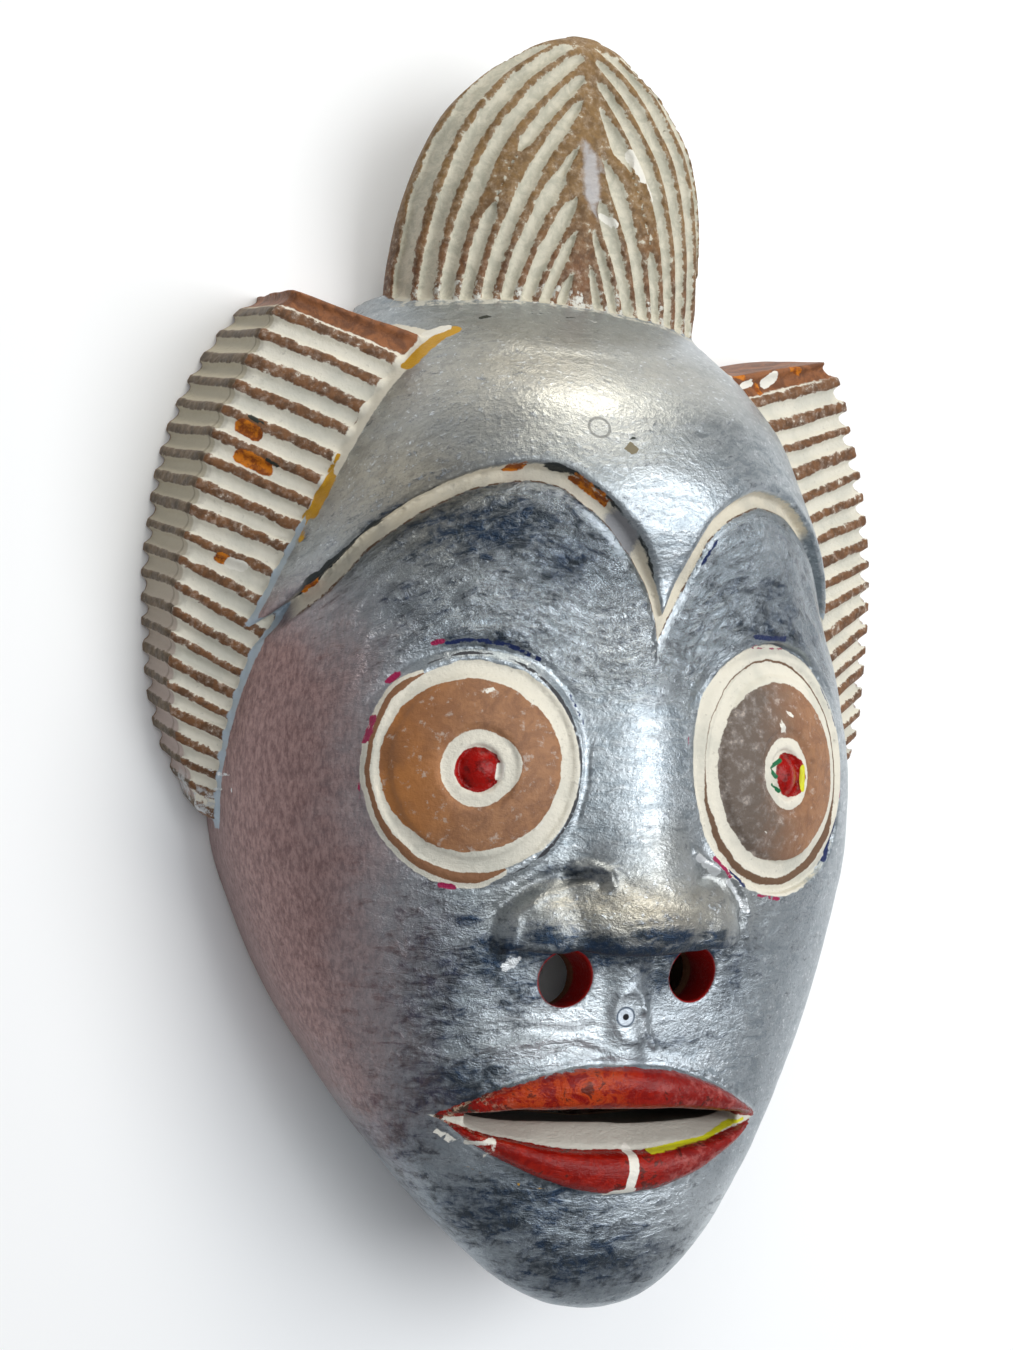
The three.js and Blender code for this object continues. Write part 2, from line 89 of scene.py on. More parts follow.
# Left and right: middle, turn, height over width, size, and how far the pupil sits from the middle
EYES = {-1: (40, -2.5, 70.6, 18, 1.07, 1, 0.9, -1), 1: (43, -1, 67.6, 21, 1.04, 1.14, -1.6, -2.2)}
EYE_DOME, EYE_EDGE = 7, 26.8
# Distance from the pupil's middle and height over the dome
EYE_PROFILE = [
    (0, 0.2), (1.5, 0.1), (3.2, -0.6), (4.5, -1.7), (5, -2.1), (5.6, -0.5), (6.3, -0.55),
    (8.9, -0.5), (9.7, 0.45), (15, 0.5), (19.6, 0.45), (20.5, -0.6), (23.2, -0.6), (23.9, 0.5),
    (25.2, 0.5), (26.8, 0),
]
# Ridge of the nose: height, half width, z of its top
BRIDGE_ROWS = [
    (-54, 24, 80), (-42, 24, 84), (-28, 22, 86), (-14, 20, 84), (4, 18, 82.5), (22, 16, 81.5),
    (37, 12, 82), (50, 9, 74),
]
BRIDGE_ROOT = 60
# Middle and half sizes of the nose's tip and wings
NOSE_TIP = (0, -38, 67, 25, 16, 19.5)
NOSE_WINGS = [(-17.5, -41.5, 65.5, 18.5, 15.5, 16), (15, -41.5, 66, 17, 16, 16)]
NOSE_BASE_Y, NOSE_BASE_Z, NOSE_BASE_TILT = -45.5, 76, 12
# Small ridges and creases of the nose: a line through points, how tall and how wide
NOSE_RIDGES = [
    ([(-32.5, -44.8), (-31.2, -37.3), (-25.4, -32.6), (-17.7, -30.3), (-12.1, -29)], 0.9, 1.2),
    ([(-35.5, -45), (-34, -36), (-27, -30), (-18.5, -27.4)], -0.8, 1.4),
    ([(-17, -26.2), (-14, -25.6), (-10.8, -27.2), (-10.2, -29.9)], 1.3, 1.1),
    ([(-19, -28.6), (-14, -28.8), (-12.4, -30.2)], -1.1, 1),
    ([(11.9, -32.2), (15, -29.6), (20.4, -28.1)], -0.9, 1.3),
    ([(25.9, -28.2), (30.5, -35), (31.1, -40)], -0.9, 1.2),
    ([(14.5, -22.4), (19.4, -25.4), (25, -27.6), (30, -31), (34, -38.3)], 0.9, 1.2),
    ([(-7, -30), (-2, -32.6), (3, -33)], -0.4, 1.4),
    ([(-27, -36), (-20, -35), (-14, -36.5)], 0.4, 1.6),
]
NOSTRIL_MIDDLE, NOSTRIL_SIDE, NOSTRIL_Y, NOSTRIL_R, NOSTRIL_TILT = 1, 17.3, -52.8, 6.6, 4
MOUTH_MIDDLE, MOUTH_TILT, MOUTH_HALF = -1, -0.05, 43.5
# Edges of the lips: height at the middle and rise towards the corners
UPPER_TOP, UPPER_LOW = (-74, -13), (-84.3, -3)
LOWER_TOP, LOWER_LOW = (-94.8, 6.5), (-104.5, 16.5)
LIP_PROUD = 6.5
SLIT_HEIGHT, SLIT_HALF, SLIT_FLOOR, LEDGE_DEPTH = 5.2, 37, 18, 8
CREST_FOOT = 116
# Sections of the crest: height, half width, z where it is widest, of its front and of its back
CREST_ROWS = [
    (116, 46.5, 13, 40, -8), (130, 47, 15.5, 42.5, -6), (145, 46, 20, 45, 2), (160, 43, 26.5, 46.5, 13),
    (172, 38, 32, 47, 22), (184, 28, 37, 47, 31), (192, 17, 39.5, 46, 36), (195.2, 11.3, 40.9, 44.6, 38.9),
    (197.2, 5, 41.7, 43.2, 41), (198, 0.4, 42, 42.6, 41.6),
]
CREST_GROOVES, CREST_DEPTH = 10, 1.7
# Height at which the groove that starts that far from the middle meets the parting
CREST_MEETS = [
    (0, 120), (5, 134), (10, 144.6), (15, 152), (20, 166), (25, 178), (30, 185), (35, 191),
    (40, 196), (47, 198.5),
]
# Height and half width of the plain strip at its parting
CREST_PARTING = [
    (116, 3), (124, 1.8), (134, 1.4), (148, 2), (158, 3.6), (172, 2.6), (184, 1.4), (196, 1),
]
# Sections of a side lock: height, x and z of its inner edge, x and z of its ridge, x of its back,
# and how far a flute drops for each millimetre inwards
LOCK_ROWS = [
    (-14, 88, 18, 94.5, 14, 95, 0.45),
    (4, 88, 24, 101, 17.5, 104, 0.48),
    (20, 85, 28, 104, 19.5, 107, 0.55),
    (40, 81, 33, 103.7, 23, 108.5, 0.6),
    (60, 75, 37, 101.5, 28, 107, 0.42),
    (80, 68.5, 40.5, 97, 32, 103, 0.43),
    (100, 59, 43.5, 89.5, 36.5, 94, 0.37),
    (111, 50, 44.5, 84.5, 39.5, 86, 0.31),
    (117.5, 46, 44.5, 79.5, 41, 79.5, 0.26),
]
LOCK_LOW, LOCK_HIGH = LOCK_ROWS[0][0], LOCK_ROWS[-1][0]
FLUTES, FLUTE_DEPTH, FLUTE_BACK = 21, 1.65, 0.26

# Small ridges of the face: a line through points, how tall and how wide
NAIL = (-0.8, -62.3)
RIDGES = [
    ([(3, -68.4), (0, -67.8), (-2.6, -65), (-3.4, -61), (-2.6, -57.4), (0.6, -55.6), (3.6, -57.4),
      (4.6, -61)], 1.5, 1.1),
    ([(4.6, -61), (5.2, -65.4), (8, -70)], 0.8, 1.1),
    ([(-49, -78.8), (-45.4, -75.6), (-41.6, -72.3), (-34.5, -69), (-22.6, -67.6), (-12, -67),
      (-3, -71)], 0.8, 0.9),
    ([(-56, -74.6), (-53, -69), (-47, -66)], 0.5, 0.8),
    ([(-33, -45), (-30, -39), (-25.5, -33), (-20, -28.5), (-13, -26)], 1, 1.4),
    ([(34, -44), (30, -36), (25, -31)], 0.8, 1.4),
]


# Curves and smooth joins
class Curve:
    """A smooth curve without overshoot through rows of position and value."""

    def __init__(self, rows, column=1):
        x = np.array([r[0] for r in rows], float)
        v = np.array([r[column] for r in rows], float)
        step = np.diff(v) / np.diff(x)
        product = step[:-1] * step[1:]
        total = np.where(product > 0, step[:-1] + step[1:], 1)
        inner = np.where(product > 0, 2 * product / total, 0)
        slope = np.concatenate([[step[0]], inner, [step[-1]]])
        self.at = np.linspace(x[0], x[-1], 1200)
        i = np.clip(np.searchsorted(x, self.at, side="right") - 1, 0, len(x) - 2)
        span = x[i + 1] - x[i]
        t = (self.at - x[i]) / span
        bend = t * t * (3 - 2 * t)
        start = slope[i] * span * t * (1 - t) ** 2
        end = slope[i + 1] * span * t * t * (t - 1)
        self.value = v[i] * (1 - bend) + v[i + 1] * bend + start + end
        self.slope = np.gradient(self.value, self.at)

    def __call__(self, y):
        return np.interp(y, self.at, self.value)

    def rate(self, y):
        return np.interp(y, self.at, self.slope, left=0, right=0)


def smin(a, b, k):
    h = unit(0.5 + 0.5 * (b - a) / k)
    return b * (1 - h) + a * h - k * h * (1 - h)


def smax(a, b, k):
    return -smin(-a, -b, k)


def unit(value):
    """Held between 0 and 1."""
    return np.clip(value, 0, 1)


def bell(x, middle, wide, y=0, middle_y=0, tall=1):
    """1 at the middle, with a smooth fall to 0 all round."""
    return np.exp(-(((x - middle) / wide) ** 2) - ((y - middle_y) / tall) ** 2)


def table(rows, at):
    return np.interp(at, [r[0] for r in rows], [r[1] for r in rows])


# Noise
random = np.random.default_rng(7)
NOISE_SIDE = 32
noise_values = random.uniform(-1, 1, (NOISE_SIDE,) * 3).astype(np.float32)


def noise(p, size, shift=0):
    """Smooth noise between -1 and 1 with lumps of about that size, per point."""
    q = p / np.asarray(size) + shift
    i = np.floor(q).astype(np.int64)
    f = q - i
    f = f * f * (3 - 2 * f)
    a, b = i % NOISE_SIDE, (i + 1) % NOISE_SIDE
    v = noise_values
    fx, fy, fz = f[:, 0], f[:, 1], f[:, 2]
    ends = []
    for z in (a[:, 2], b[:, 2]):
        low = v[a[:, 0], a[:, 1], z] * (1 - fx) + v[b[:, 0], a[:, 1], z] * fx
        high = v[a[:, 0], b[:, 1], z] * (1 - fx) + v[b[:, 0], b[:, 1], z] * fx
        ends.append(low * (1 - fy) + high * fy)
    return ends[0] * (1 - fz) + ends[1] * fz


# Forms as distances, negative inside
head_curves = [Curve(HEAD_ROWS, c) for c in (1, 2, 3, 4)]
crest_reach = [(y, half, widest, front, widest - back) for y, half, widest, front, back in CREST_ROWS]
crest_curves = [Curve(crest_reach, c) for c in (1, 2, 3, 4)]
hollow_curves = [Curve(HOLLOW_ROWS, c) for c in (1, 2)]
bridge_curves = [Curve(BRIDGE_ROWS, c) for c in (1, 2)]
lock_curves = [Curve(LOCK_ROWS, c) for c in range(1, 7)]
brow_curves = Curve(BROW_LEFT), Curve(BROW_RIGHT)


def section_distance(x, y, z, curves, power):
    """Distance to a tall form with rounded sections, from curves for their sizes at each height."""
    half, widest, front, back = [c(y) for c in curves]
    d_half, d_widest, d_front, d_back = [c.rate(y) for c in curves]
    ahead = z > widest
    reach = np.where(ahead, front - widest, back)
    d_reach = np.where(ahead, d_front - d_widest, d_back)
    u = np.abs(x) / half + 1e-6
    v = np.abs(z - widest) / reach + 1e-6
    s = (u**power + v**power) ** (1 / power)
    scale = s ** (1 - power)
    gu, gv = u ** (power - 1) * scale, v ** (power - 1) * scale
    gy = -gu * u * d_half / half - gv * v * d_reach / reach
    gy -= gv * d_widest * np.sign(z - widest) / reach
    return (s - 1) / np.sqrt((gu / half) ** 2 + (gv / reach) ** 2 + gy**2)


def head_level(x, y):
    """How far forward the plain head reaches."""
    half, widest, front = [c(y) for c in head_curves[:3]]
    across = np.minimum(np.abs(x) / half, 1)
    return widest + (front - widest) * (1 - across**HEAD_POWER) ** (1 / HEAD_POWER)


def brow_height(x):
    across = x - BROW_MIDDLE
    return np.where(across < 0, brow_curves[0](-across), brow_curves[1](across))


def brow_distance(x, y):
    """How far a point lies above the edge of the brow, across the edge."""
    across = x - BROW_MIDDLE
    left = brow_curves[0].rate(np.clip(-across, 0.2, 91))
    right = brow_curves[1].rate(np.clip(across, 0.2, 85))
    slope = np.where(across < 0, left, right)
    b = (y - brow_height(x)) / np.sqrt(1 + slope**2)
    return np.where(b < 0, b * 3.9 / table(CHANNEL_WIDE, x), b)


def ellipsoid(x, y, z, form):
    cx, cy, cz, rx, ry, rz = form
    dx, dy, dz = x - cx, y - cy, z - cz
    k0 = np.sqrt((dx / rx) ** 2 + (dy / ry) ** 2 + (dz / rz) ** 2) + 1e-6
    k1 = np.sqrt((dx / rx**2) ** 2 + (dy / ry**2) ** 2 + (dz / rz**2) ** 2) + 1e-9
    return k0 * (k0 - 1) / k1


def eye_local(x, y, z, side):
    """Places in an eye's own axes: across, up and out from its pupil."""
    ex, ey, ez, turn, tall, size, off_x, off_y = EYES[side]
    turn = side * math.radians(turn)
    dx, dz = x - side * ex, z - ez
    lx = (math.cos(turn) * dx - math.sin(turn) * dz) / size
    ly = (y - ey) / (tall * size)
    off = unit(1 - np.hypot(lx, ly) / 22)
    return lx - off_x * off, ly - off_y * off, math.sin(turn) * dx + math.cos(turn) * dz


def lip_edge(row, x):
    across = x - MOUTH_MIDDLE
    return row[0] + row[1] * (across / MOUTH_HALF) ** 2 + MOUTH_TILT * across


def lip_across(row, x):
    """How much a step along y shortens across that edge."""
    return 1 / np.sqrt(1 + (2 * row[1] * (x - MOUTH_MIDDLE) / MOUTH_HALF**2 + MOUTH_TILT) ** 2)


def mouth_wobble(p):
    """How uneven the edges of the lips are."""
    return 0.35 * noise(p, 8, 4.4)


def lip(x, y, z, top, low):
    """One lip between its two edges."""
    y0, y1 = lip_edge(top, x), lip_edge(low, x)
    share = unit((y0 - y) / np.maximum(y0 - y1, 0.5))
    full = LIP_PROUD * np.sqrt(np.maximum(1 - ((x - MOUTH_MIDDLE) / MOUTH_HALF) ** 2, 0))
    shape = table([(0, 0.5), (0.12, 0.78), (0.3, 0.95), (0.5, 1), (0.8, 0.9), (1, 0.6)], share)
    front = (z - head_level(x, y) - full * shape) * 0.93
    outline = np.maximum((y - y0) * lip_across(top, x), (y1 - y) * lip_across(low, x))
    outline = np.maximum(outline, np.abs(x - MOUTH_MIDDLE) - MOUTH_HALF)
    return smax(smax(front, outline, 1.6), head_level(x, y) - 12 - z, 0.5)


def slit_height(x):
    """Height of the lower edge of the slit between the lips."""
    round_end = np.maximum(1.02 - ((x - MOUTH_MIDDLE) / SLIT_HALF) ** 2, 0.001)
    return lip_edge(UPPER_LOW, x) - SLIT_HEIGHT * np.sqrt(round_end)


def mouth_cut(x, y, z):
    """The ledge inside the lips and the slit that goes through."""
    top, low, slit = lip_edge(UPPER_LOW, x), lip_edge(LOWER_TOP, x), slit_height(x)
    level = head_level(x, low)
    slope = (LEDGE_DEPTH + 2) / np.maximum(slit - low, 0.5)
    ledge = (level + 2 - slope * (y - low) - z) / np.sqrt(1 + slope**2)
    reach = np.abs(x - MOUTH_MIDDLE) - SLIT_HALF
    through = np.maximum.reduce([y - top, slit - y, SLIT_FLOOR - z, reach])
    shelf = np.maximum.reduce([y - top, low - y, ledge, reach])
    return np.minimum(through, shelf)


def crest_share_table():
    """For each x and height of the crest, which of its nested arches passes there."""
    xs, ys = np.linspace(0, 48, 97), np.linspace(CREST_FOOT, CREST_TOP, 165)
    x, y = np.meshgrid(xs, ys, indexing="ij")
    outer = CREST_ROWS[0][1]
    low, high = np.zeros_like(x), np.ones_like(x)
    for _ in range(24):
        share = (low + high) / 2
        rise = (y - CREST_FOOT) / (table(CREST_MEETS, share * outer) - CREST_FOOT)
        held = np.minimum(rise, 1)
        outline = crest_curves[0](CREST_FOOT + (CREST_TOP - CREST_FOOT) * held) / outer
        along = share**3
        lean = (1 - along) * (1 - held ** (1 + 1.5 * share)) + along * outline
        reached = np.where(rise >= 1, -1, outer * share * lean - x)
        low, high = np.where(reached < 0, share, low), np.where(reached < 0, high, share)
    return xs, ys, (low + high) / 2


crest_xs, crest_ys, crest_shares = crest_share_table()


def crest_share(x, y):
    """The table's value at each place."""
    i = np.clip(np.abs(x) / (crest_xs[1] - crest_xs[0]), 0, len(crest_xs) - 1.001)
    j = np.clip((y - CREST_FOOT) / (crest_ys[1] - crest_ys[0]), 0, len(crest_ys) - 1.001)
    a, b = i.astype(int), j.astype(int)
    fi, fj = i - a, j - b
    t = crest_shares
    low = t[a, b] * (1 - fi) + t[a + 1, b] * fi
    high = t[a, b + 1] * (1 - fi) + t[a + 1, b + 1] * fi
    return low * (1 - fj) + high * fj


# Where a groove of the crest is thin, broken or smeared: side, groove, from height, to height, width
CREST_BREAKS = [
    (-1, 0, 110, 150, 0),
    (-1, 1, 131, 150, 0),
    (-1, 2, 142, 152, 0.2),
    (-1, 3, 150, 160, 0),
    (-1, 4, 156, 172, 0.5),
    (-1, 6, 147, 163, 0.03),
    (1, 3, 152, 160, 0.6),
    (1, 4, 160, 164, 0.3),
    (1, 4, 164, 174, 0.2),
    (1, 5, 140, 163, 0.12),
    (1, 5, 163, 172, 1.25),
]


def crest_groove(p):
    """How deep a point lies in a groove of the crest, from 0 on a rib to 1 on a groove's floor."""
    x, y = p[:, 0], p[:, 1]
    share = crest_share(x, y) + 0.006 * noise(p, 16, 3) + 0.003 * noise(p, 5, 5.5)
    foot = share * CREST_GROOVES
    k = np.floor(foot)
    width = 0.37 + 0.05 * noise(p, 9, 8)
    for side, groove, start, end, wide in CREST_BREAKS:
        inside = (np.sign(x) == side) & (k == groove)
        fade = unit((y - start) / 4 + 0.5) * unit((end - y) / 4 + 0.5)
        width = np.where(inside, width * (1 + (wide - 1) * fade), width)
    parting = table(CREST_PARTING, y) * np.where(x > 0, 1.15, 0.9) + 0.5 * noise(p, 6, 1.5)
    aside = np.abs(x) - parting
    width = width * np.clip(0.45 + aside / 6, 0.3, 1)
    u = np.abs(foot - k - 0.5) / np.maximum(width, 0.02)
    deep = unit(1 - u**2.6)
    deep *= unit(aside / 1.2)
    deep *= unit((y - CREST_FOOT - 1.5 - 1.2 * noise(p, 5, 2.5)) / 3)
    deep *= unit((CREST_TOP - 3 - y) / 4)
    return deep * (k < CREST_GROOVES)


def lock_frame(x, y, z):
    """For a point near a side lock: the height of its flute on the ridge and its two face distances."""
    side_x = np.abs(x)
    q = y.copy()
    for _ in range(3):
        inner_x, inner_z, ridge_x, ridge_z, back_x, slope = [c(q) for c in lock_curves]
        q = y + slope * np.maximum(ridge_x - side_x, 0)
        q -= FLUTE_BACK * np.clip(ridge_z - z, 0, ridge_z)
    dx, dz = ridge_x - inner_x, ridge_z - inner_z
    length = np.sqrt(dx**2 + dz**2)
    front = ((side_x - ridge_x) * -dz + (z - ridge_z) * dx) / length
    bx = back_x - ridge_x
    length = np.sqrt(bx**2 + ridge_z**2)
    flank = ((side_x - ridge_x) * ridge_z + (z - ridge_z) * bx) / length
    return q, front, flank


flute_shift = random.uniform(-0.05, 0.05, (2, FLUTES + 2))
flute_wide = random.uniform(0.92, 1.06, (2, FLUTES + 2))
flute_deep = random.uniform(0.85, 1.15, (2, FLUTES + 2))


def flute(p, q):
    """How deep a point lies in a flute of a side lock, from 0 on a ridge to 1 on a floor."""
    t = (q - LOCK_LOW) / (LOCK_HIGH - LOCK_LOW) * FLUTES + 0.06 * noise(p, 14, 4) + 0.03 * noise(p, 4, 6)
    k = np.floor(t)
    side = (p[:, 0] > 0).astype(int)
    n = np.clip(k.astype(int), 0, FLUTES)
    centre = 0.62 + flute_shift[side, n]
    width = 0.335 * flute_wide[side, n] + 0.02 * noise(p, 6, 9)
    u = (t - k - centre) / width
    deep = unit(1 - np.abs(u) ** 2.4) * (1 + 0.3 * u) * flute_deep[side, n]
    return deep * np.clip(t / 2, 0.15, 1) * (k >= 0) * (k < FLUTES)


def beside(x, y, line):
    """Distance across x and y to a line through points."""
    nearest = np.full(np.shape(x), 99)
    for (ax, ay), (bx, by) in zip(line, line[1:]):
        dx, dy = bx - ax, by - ay
        t = unit(((x - ax) * dx + (y - ay) * dy) / (dx * dx + dy * dy + 1e-9))
        nearest = np.minimum(nearest, np.hypot(x - ax - t * dx, y - ay - t * dy))
    return nearest


def eye_distance(x, y):
    left, right = EYES[-1], EYES[1]
    return np.minimum(
        np.hypot(x + left[0], (y - left[1]) / left[4]),
        np.hypot(x - right[0], (y - right[1]) / right[4]) / right[5],
    )


def brow_zone(x, y):
    """1 between the brow and the eyes, 0 elsewhere."""
    below = unit((-4.5 - brow_distance(x, y)) / 2)
    over = unit((y - 8) / 14) * unit((76 - np.abs(x)) / 10)
    return below * over * unit((eye_distance(x, y) - 27.5) / 2)


def relief(p):
    """Height of the brushed paint and small ridges over the plain head."""
    x, y = p[:, 0], p[:, 1]
    b = brow_distance(x, y)
    flow = np.stack([x, b, p[:, 2]], 1)
    rough = noise(flow, (7.5, 2.4, 30), 1.7) + 0.6 * noise(flow, (3.6, 1.6, 30), 5.7)
    height = 0.46 * rough * brow_zone(x, y)
    height += 0.3 * bell(x, -30, 24, y, -66, 14) * noise(p, (8, 2.6, 30), 3.9)
    for line, tall, wide in RIDGES:
        height += tall * bell(beside(x, y, line), 0, wide)
    height += 0.7 * bell(y - lip_edge(UPPER_TOP, x), 2, 1.1) * (np.abs(x) < 36)
    pit = np.hypot(x - NAIL[0], (y - NAIL[1]) * 0.8)
    return height - 0.8 * bell(pit, 0, 2.6) - 1.2 * bell(pit, 0, 0.9)


def plain_head(p):
    """The uneven head with the step and channel of its brow."""
    x, y, z = p.T
    b = brow_distance(x, y) + 0.25 * noise(p, 7, 3.3)
    browed = (z > head_curves[1](y)) & (y > 10)
    d = section_distance(x, y, z, head_curves, HEAD_POWER) - np.where(browed, table(BROW_PROFILE, b), 0)
    d = smax(d, CHIN_END - y, 3)
    d = np.maximum(d, y - HEAD_ROWS[-1][0])
    uneven = 0.34 * noise(p, 26, 0.3) + 0.16 * noise(p, 9, 1.3)
    return d - uneven - 0.07 * noise(p, 3.2, 2.3)


def with_relief(p, d):
    return d - relief(p)


def with_nose(p, d):
    x, y, z = p.T
    half, rise = bridge_curves[0](y), bridge_curves[1](y) - BRIDGE_ROOT
    s = np.sqrt((x / half) ** 2 + ((z - BRIDGE_ROOT) / rise) ** 2) + 1e-6
    g = np.sqrt((x / half**2) ** 2 + ((z - BRIDGE_ROOT) / rise**2) ** 2)
    nose = smin(s * (s - 1) / (g + 1e-6), ellipsoid(x, y, z, NOSE_TIP), 4)
    wings = [ellipsoid(x, y, z, wing) for wing in NOSE_WINGS]
    nose = smin(nose, np.minimum(*wings), 1.2)
    tilt = math.radians(NOSE_BASE_TILT)
    base = (y - NOSE_BASE_Y) * math.cos(tilt) + (z - NOSE_BASE_Z) * math.sin(tilt)
    nose = smax(nose, -base, 1.3) - 0.25 * noise(p, 7, 7.7)
    d = smin(d, nose, 1.6 + 6 * unit((y + 26) / 14))
    for line, tall, wide in NOSE_RIDGES:
        d = d - tall * bell(beside(x, y, line), 0, wide) * (z > 60)
    return d


def with_philtrum(p, d):
    """The raised strip between the nose and the mouth."""
    x, y, z = p.T
    level = head_level(x * 0, y) - 3.2
    bar = (np.sqrt((x / 5.5) ** 2 + ((z - level) / 5) ** 2) - 1) * 5
    return smin(d, smax(bar, np.maximum(y + 46, -74 - y), 2), 2.5)


def with_mouth(p, d):
    x, y, z = p.T
    y = y + mouth_wobble(p)
    lips = np.minimum(lip(x, y, z, UPPER_TOP, UPPER_LOW), lip(x, y, z, LOWER_TOP, LOWER_LOW))
    d = smin(d, lips - 0.12 * noise(p, 5, 2.2), 1.4)
    return smax(d, -mouth_cut(x, y, z), 0.7)


def with_nostrils(p, d):
    x, y, z = p.T
    for side in (-1, 1):
        middle = NOSTRIL_MIDDLE + side * NOSTRIL_SIDE
        lean = math.tan(math.radians(NOSTRIL_TILT)) * (z - head_level(middle, NOSTRIL_Y))
        drill = NOSTRIL_R + 0.3 * noise(p, 6, side * 2) - np.hypot(x - middle, y - NOSTRIL_Y - lean)
        near = (np.abs(x - middle) < 12) & (np.abs(y - NOSTRIL_Y) < 13)
        d = np.where(near, smax(d, drill, 0.9), d)
    return d


def with_eyes(p, d):
    for side in (-1, 1):
        x, y, z = eye_local(*p.T, side)
        r = np.hypot(x + 0.3 * noise(p, 9, 5), y + 0.3 * noise(p, 9, 6))
        level = table(EYE_PROFILE, r) + EYE_DOME * (1 - (r / EYE_EDGE) ** 2)
        disc = smax((z - level) * 0.92, r - EYE_EDGE, 0.8) - 0.06 * noise(p, 3, 1.1)
        disc = np.maximum(disc, -12 - z)
        pocket = np.maximum(r - EYE_EDGE - 0.3, -z)
        near = np.hypot(p[:, 0] - side * EYES[side][0], p[:, 1] - EYES[side][1]) < 37
        d = np.where(near, smin(smax(d, -pocket, 0.8), disc, 0.8), d)
    return d


def with_locks(p, d):
    height, face, flank = lock_frame(*p.T)
    flank = flank + bell(face, -1.9, 0.9)
    wing = smax(face, flank, 0.6) + FLUTE_DEPTH * flute(p, height)
    ends = np.maximum(LOCK_LOW - height, height - LOCK_HIGH - 0.6 * noise(p, 12, 3.1)) * 0.9
    return smin(d, smax(wing, ends, 1.6) - 0.15 * noise(p, 8, 2.7), 0.9)


def with_crest(p, d):
    x, y, z = p.T
    dome = section_distance(x, np.minimum(y, CREST_TOP - 0.9), z, crest_curves, 2)
    dome = smax(dome, y - CREST_TOP, 1)
    dome = dome + CREST_DEPTH * crest_groove(p) * unit((z - crest_curves[1](y) + 1.5) / 4)
    return smin(d, smax(dome, CREST_FOOT - y, 1) - 0.2 * noise(p, 11, 9.1), 0.8)


def hollow_cut(p):
    """The hollow back, and all that is behind the flat rim."""
    x, y, z = p.T
    half, deep = [c(y) for c in hollow_curves]
    d_half, d_deep = [c.rate(y) for c in hollow_curves]
    u, v = np.abs(x) / half + 1e-6, np.maximum(z, 0) / deep + 1e-6
    g = np.sqrt((2 * u / half) ** 2 + (2.22 * v**1.22 / deep) ** 2) + 1e-3
    g = np.hypot(g, 2 * u * u * d_half / half + 2 * v * v * d_deep / deep)
    low, high = HOLLOW_ROWS[0][0], HOLLOW_ROWS[-1][0]
    cut = np.maximum((u**2 + v**HOLLOW_POWER - 1) / g, np.maximum(low - y, y - high))
    return cut + 0.5 * np.abs(noise(p, (13, 20, 13), 6.6))


# Each part with the zone around it: distance from the middle, height and depth, from and to
CARVED_PARTS = [
    (with_relief, (-1, 80), (-92, 72), (48, 99)),
    (with_nose, (-1, 42), (-62, 56), (50, 99)),
    (with_philtrum, (-1, 12), (-78, -44), (50, 99)),
    (with_mouth, (-1, 48), (-112, -66), (10, 99)),
    (with_nostrils, (-1, 31), (-66, -39), (-9, 99)),
    (with_eyes, (-1, 81), (-40, 37), (45, 99)),
    (with_locks, (30, 120), (-30, 132), (-9, 60)),
    (with_crest, (-1, 52), (CREST_FOOT - 3, 210), (-9, 99)),
]


def mask_distance(p):
    """Distance in millimetres from each point to the whole mask."""
    place = [np.abs(p[:, 0]), p[:, 1], p[:, 2]]
    d = plain_head(p)
    for with_part, *zone in CARVED_PARTS:
        inside = [(v > low) & (v < high) for v, (low, high) in zip(place, zone)]
        i = np.flatnonzero(np.logical_and.reduce(inside))
        if len(i):
            d[i] = with_part(p[i], d[i])
    d = smax(d, -hollow_cut(p), 1.6)
    return smax(d, 0.05 - p[:, 2], 0.8)


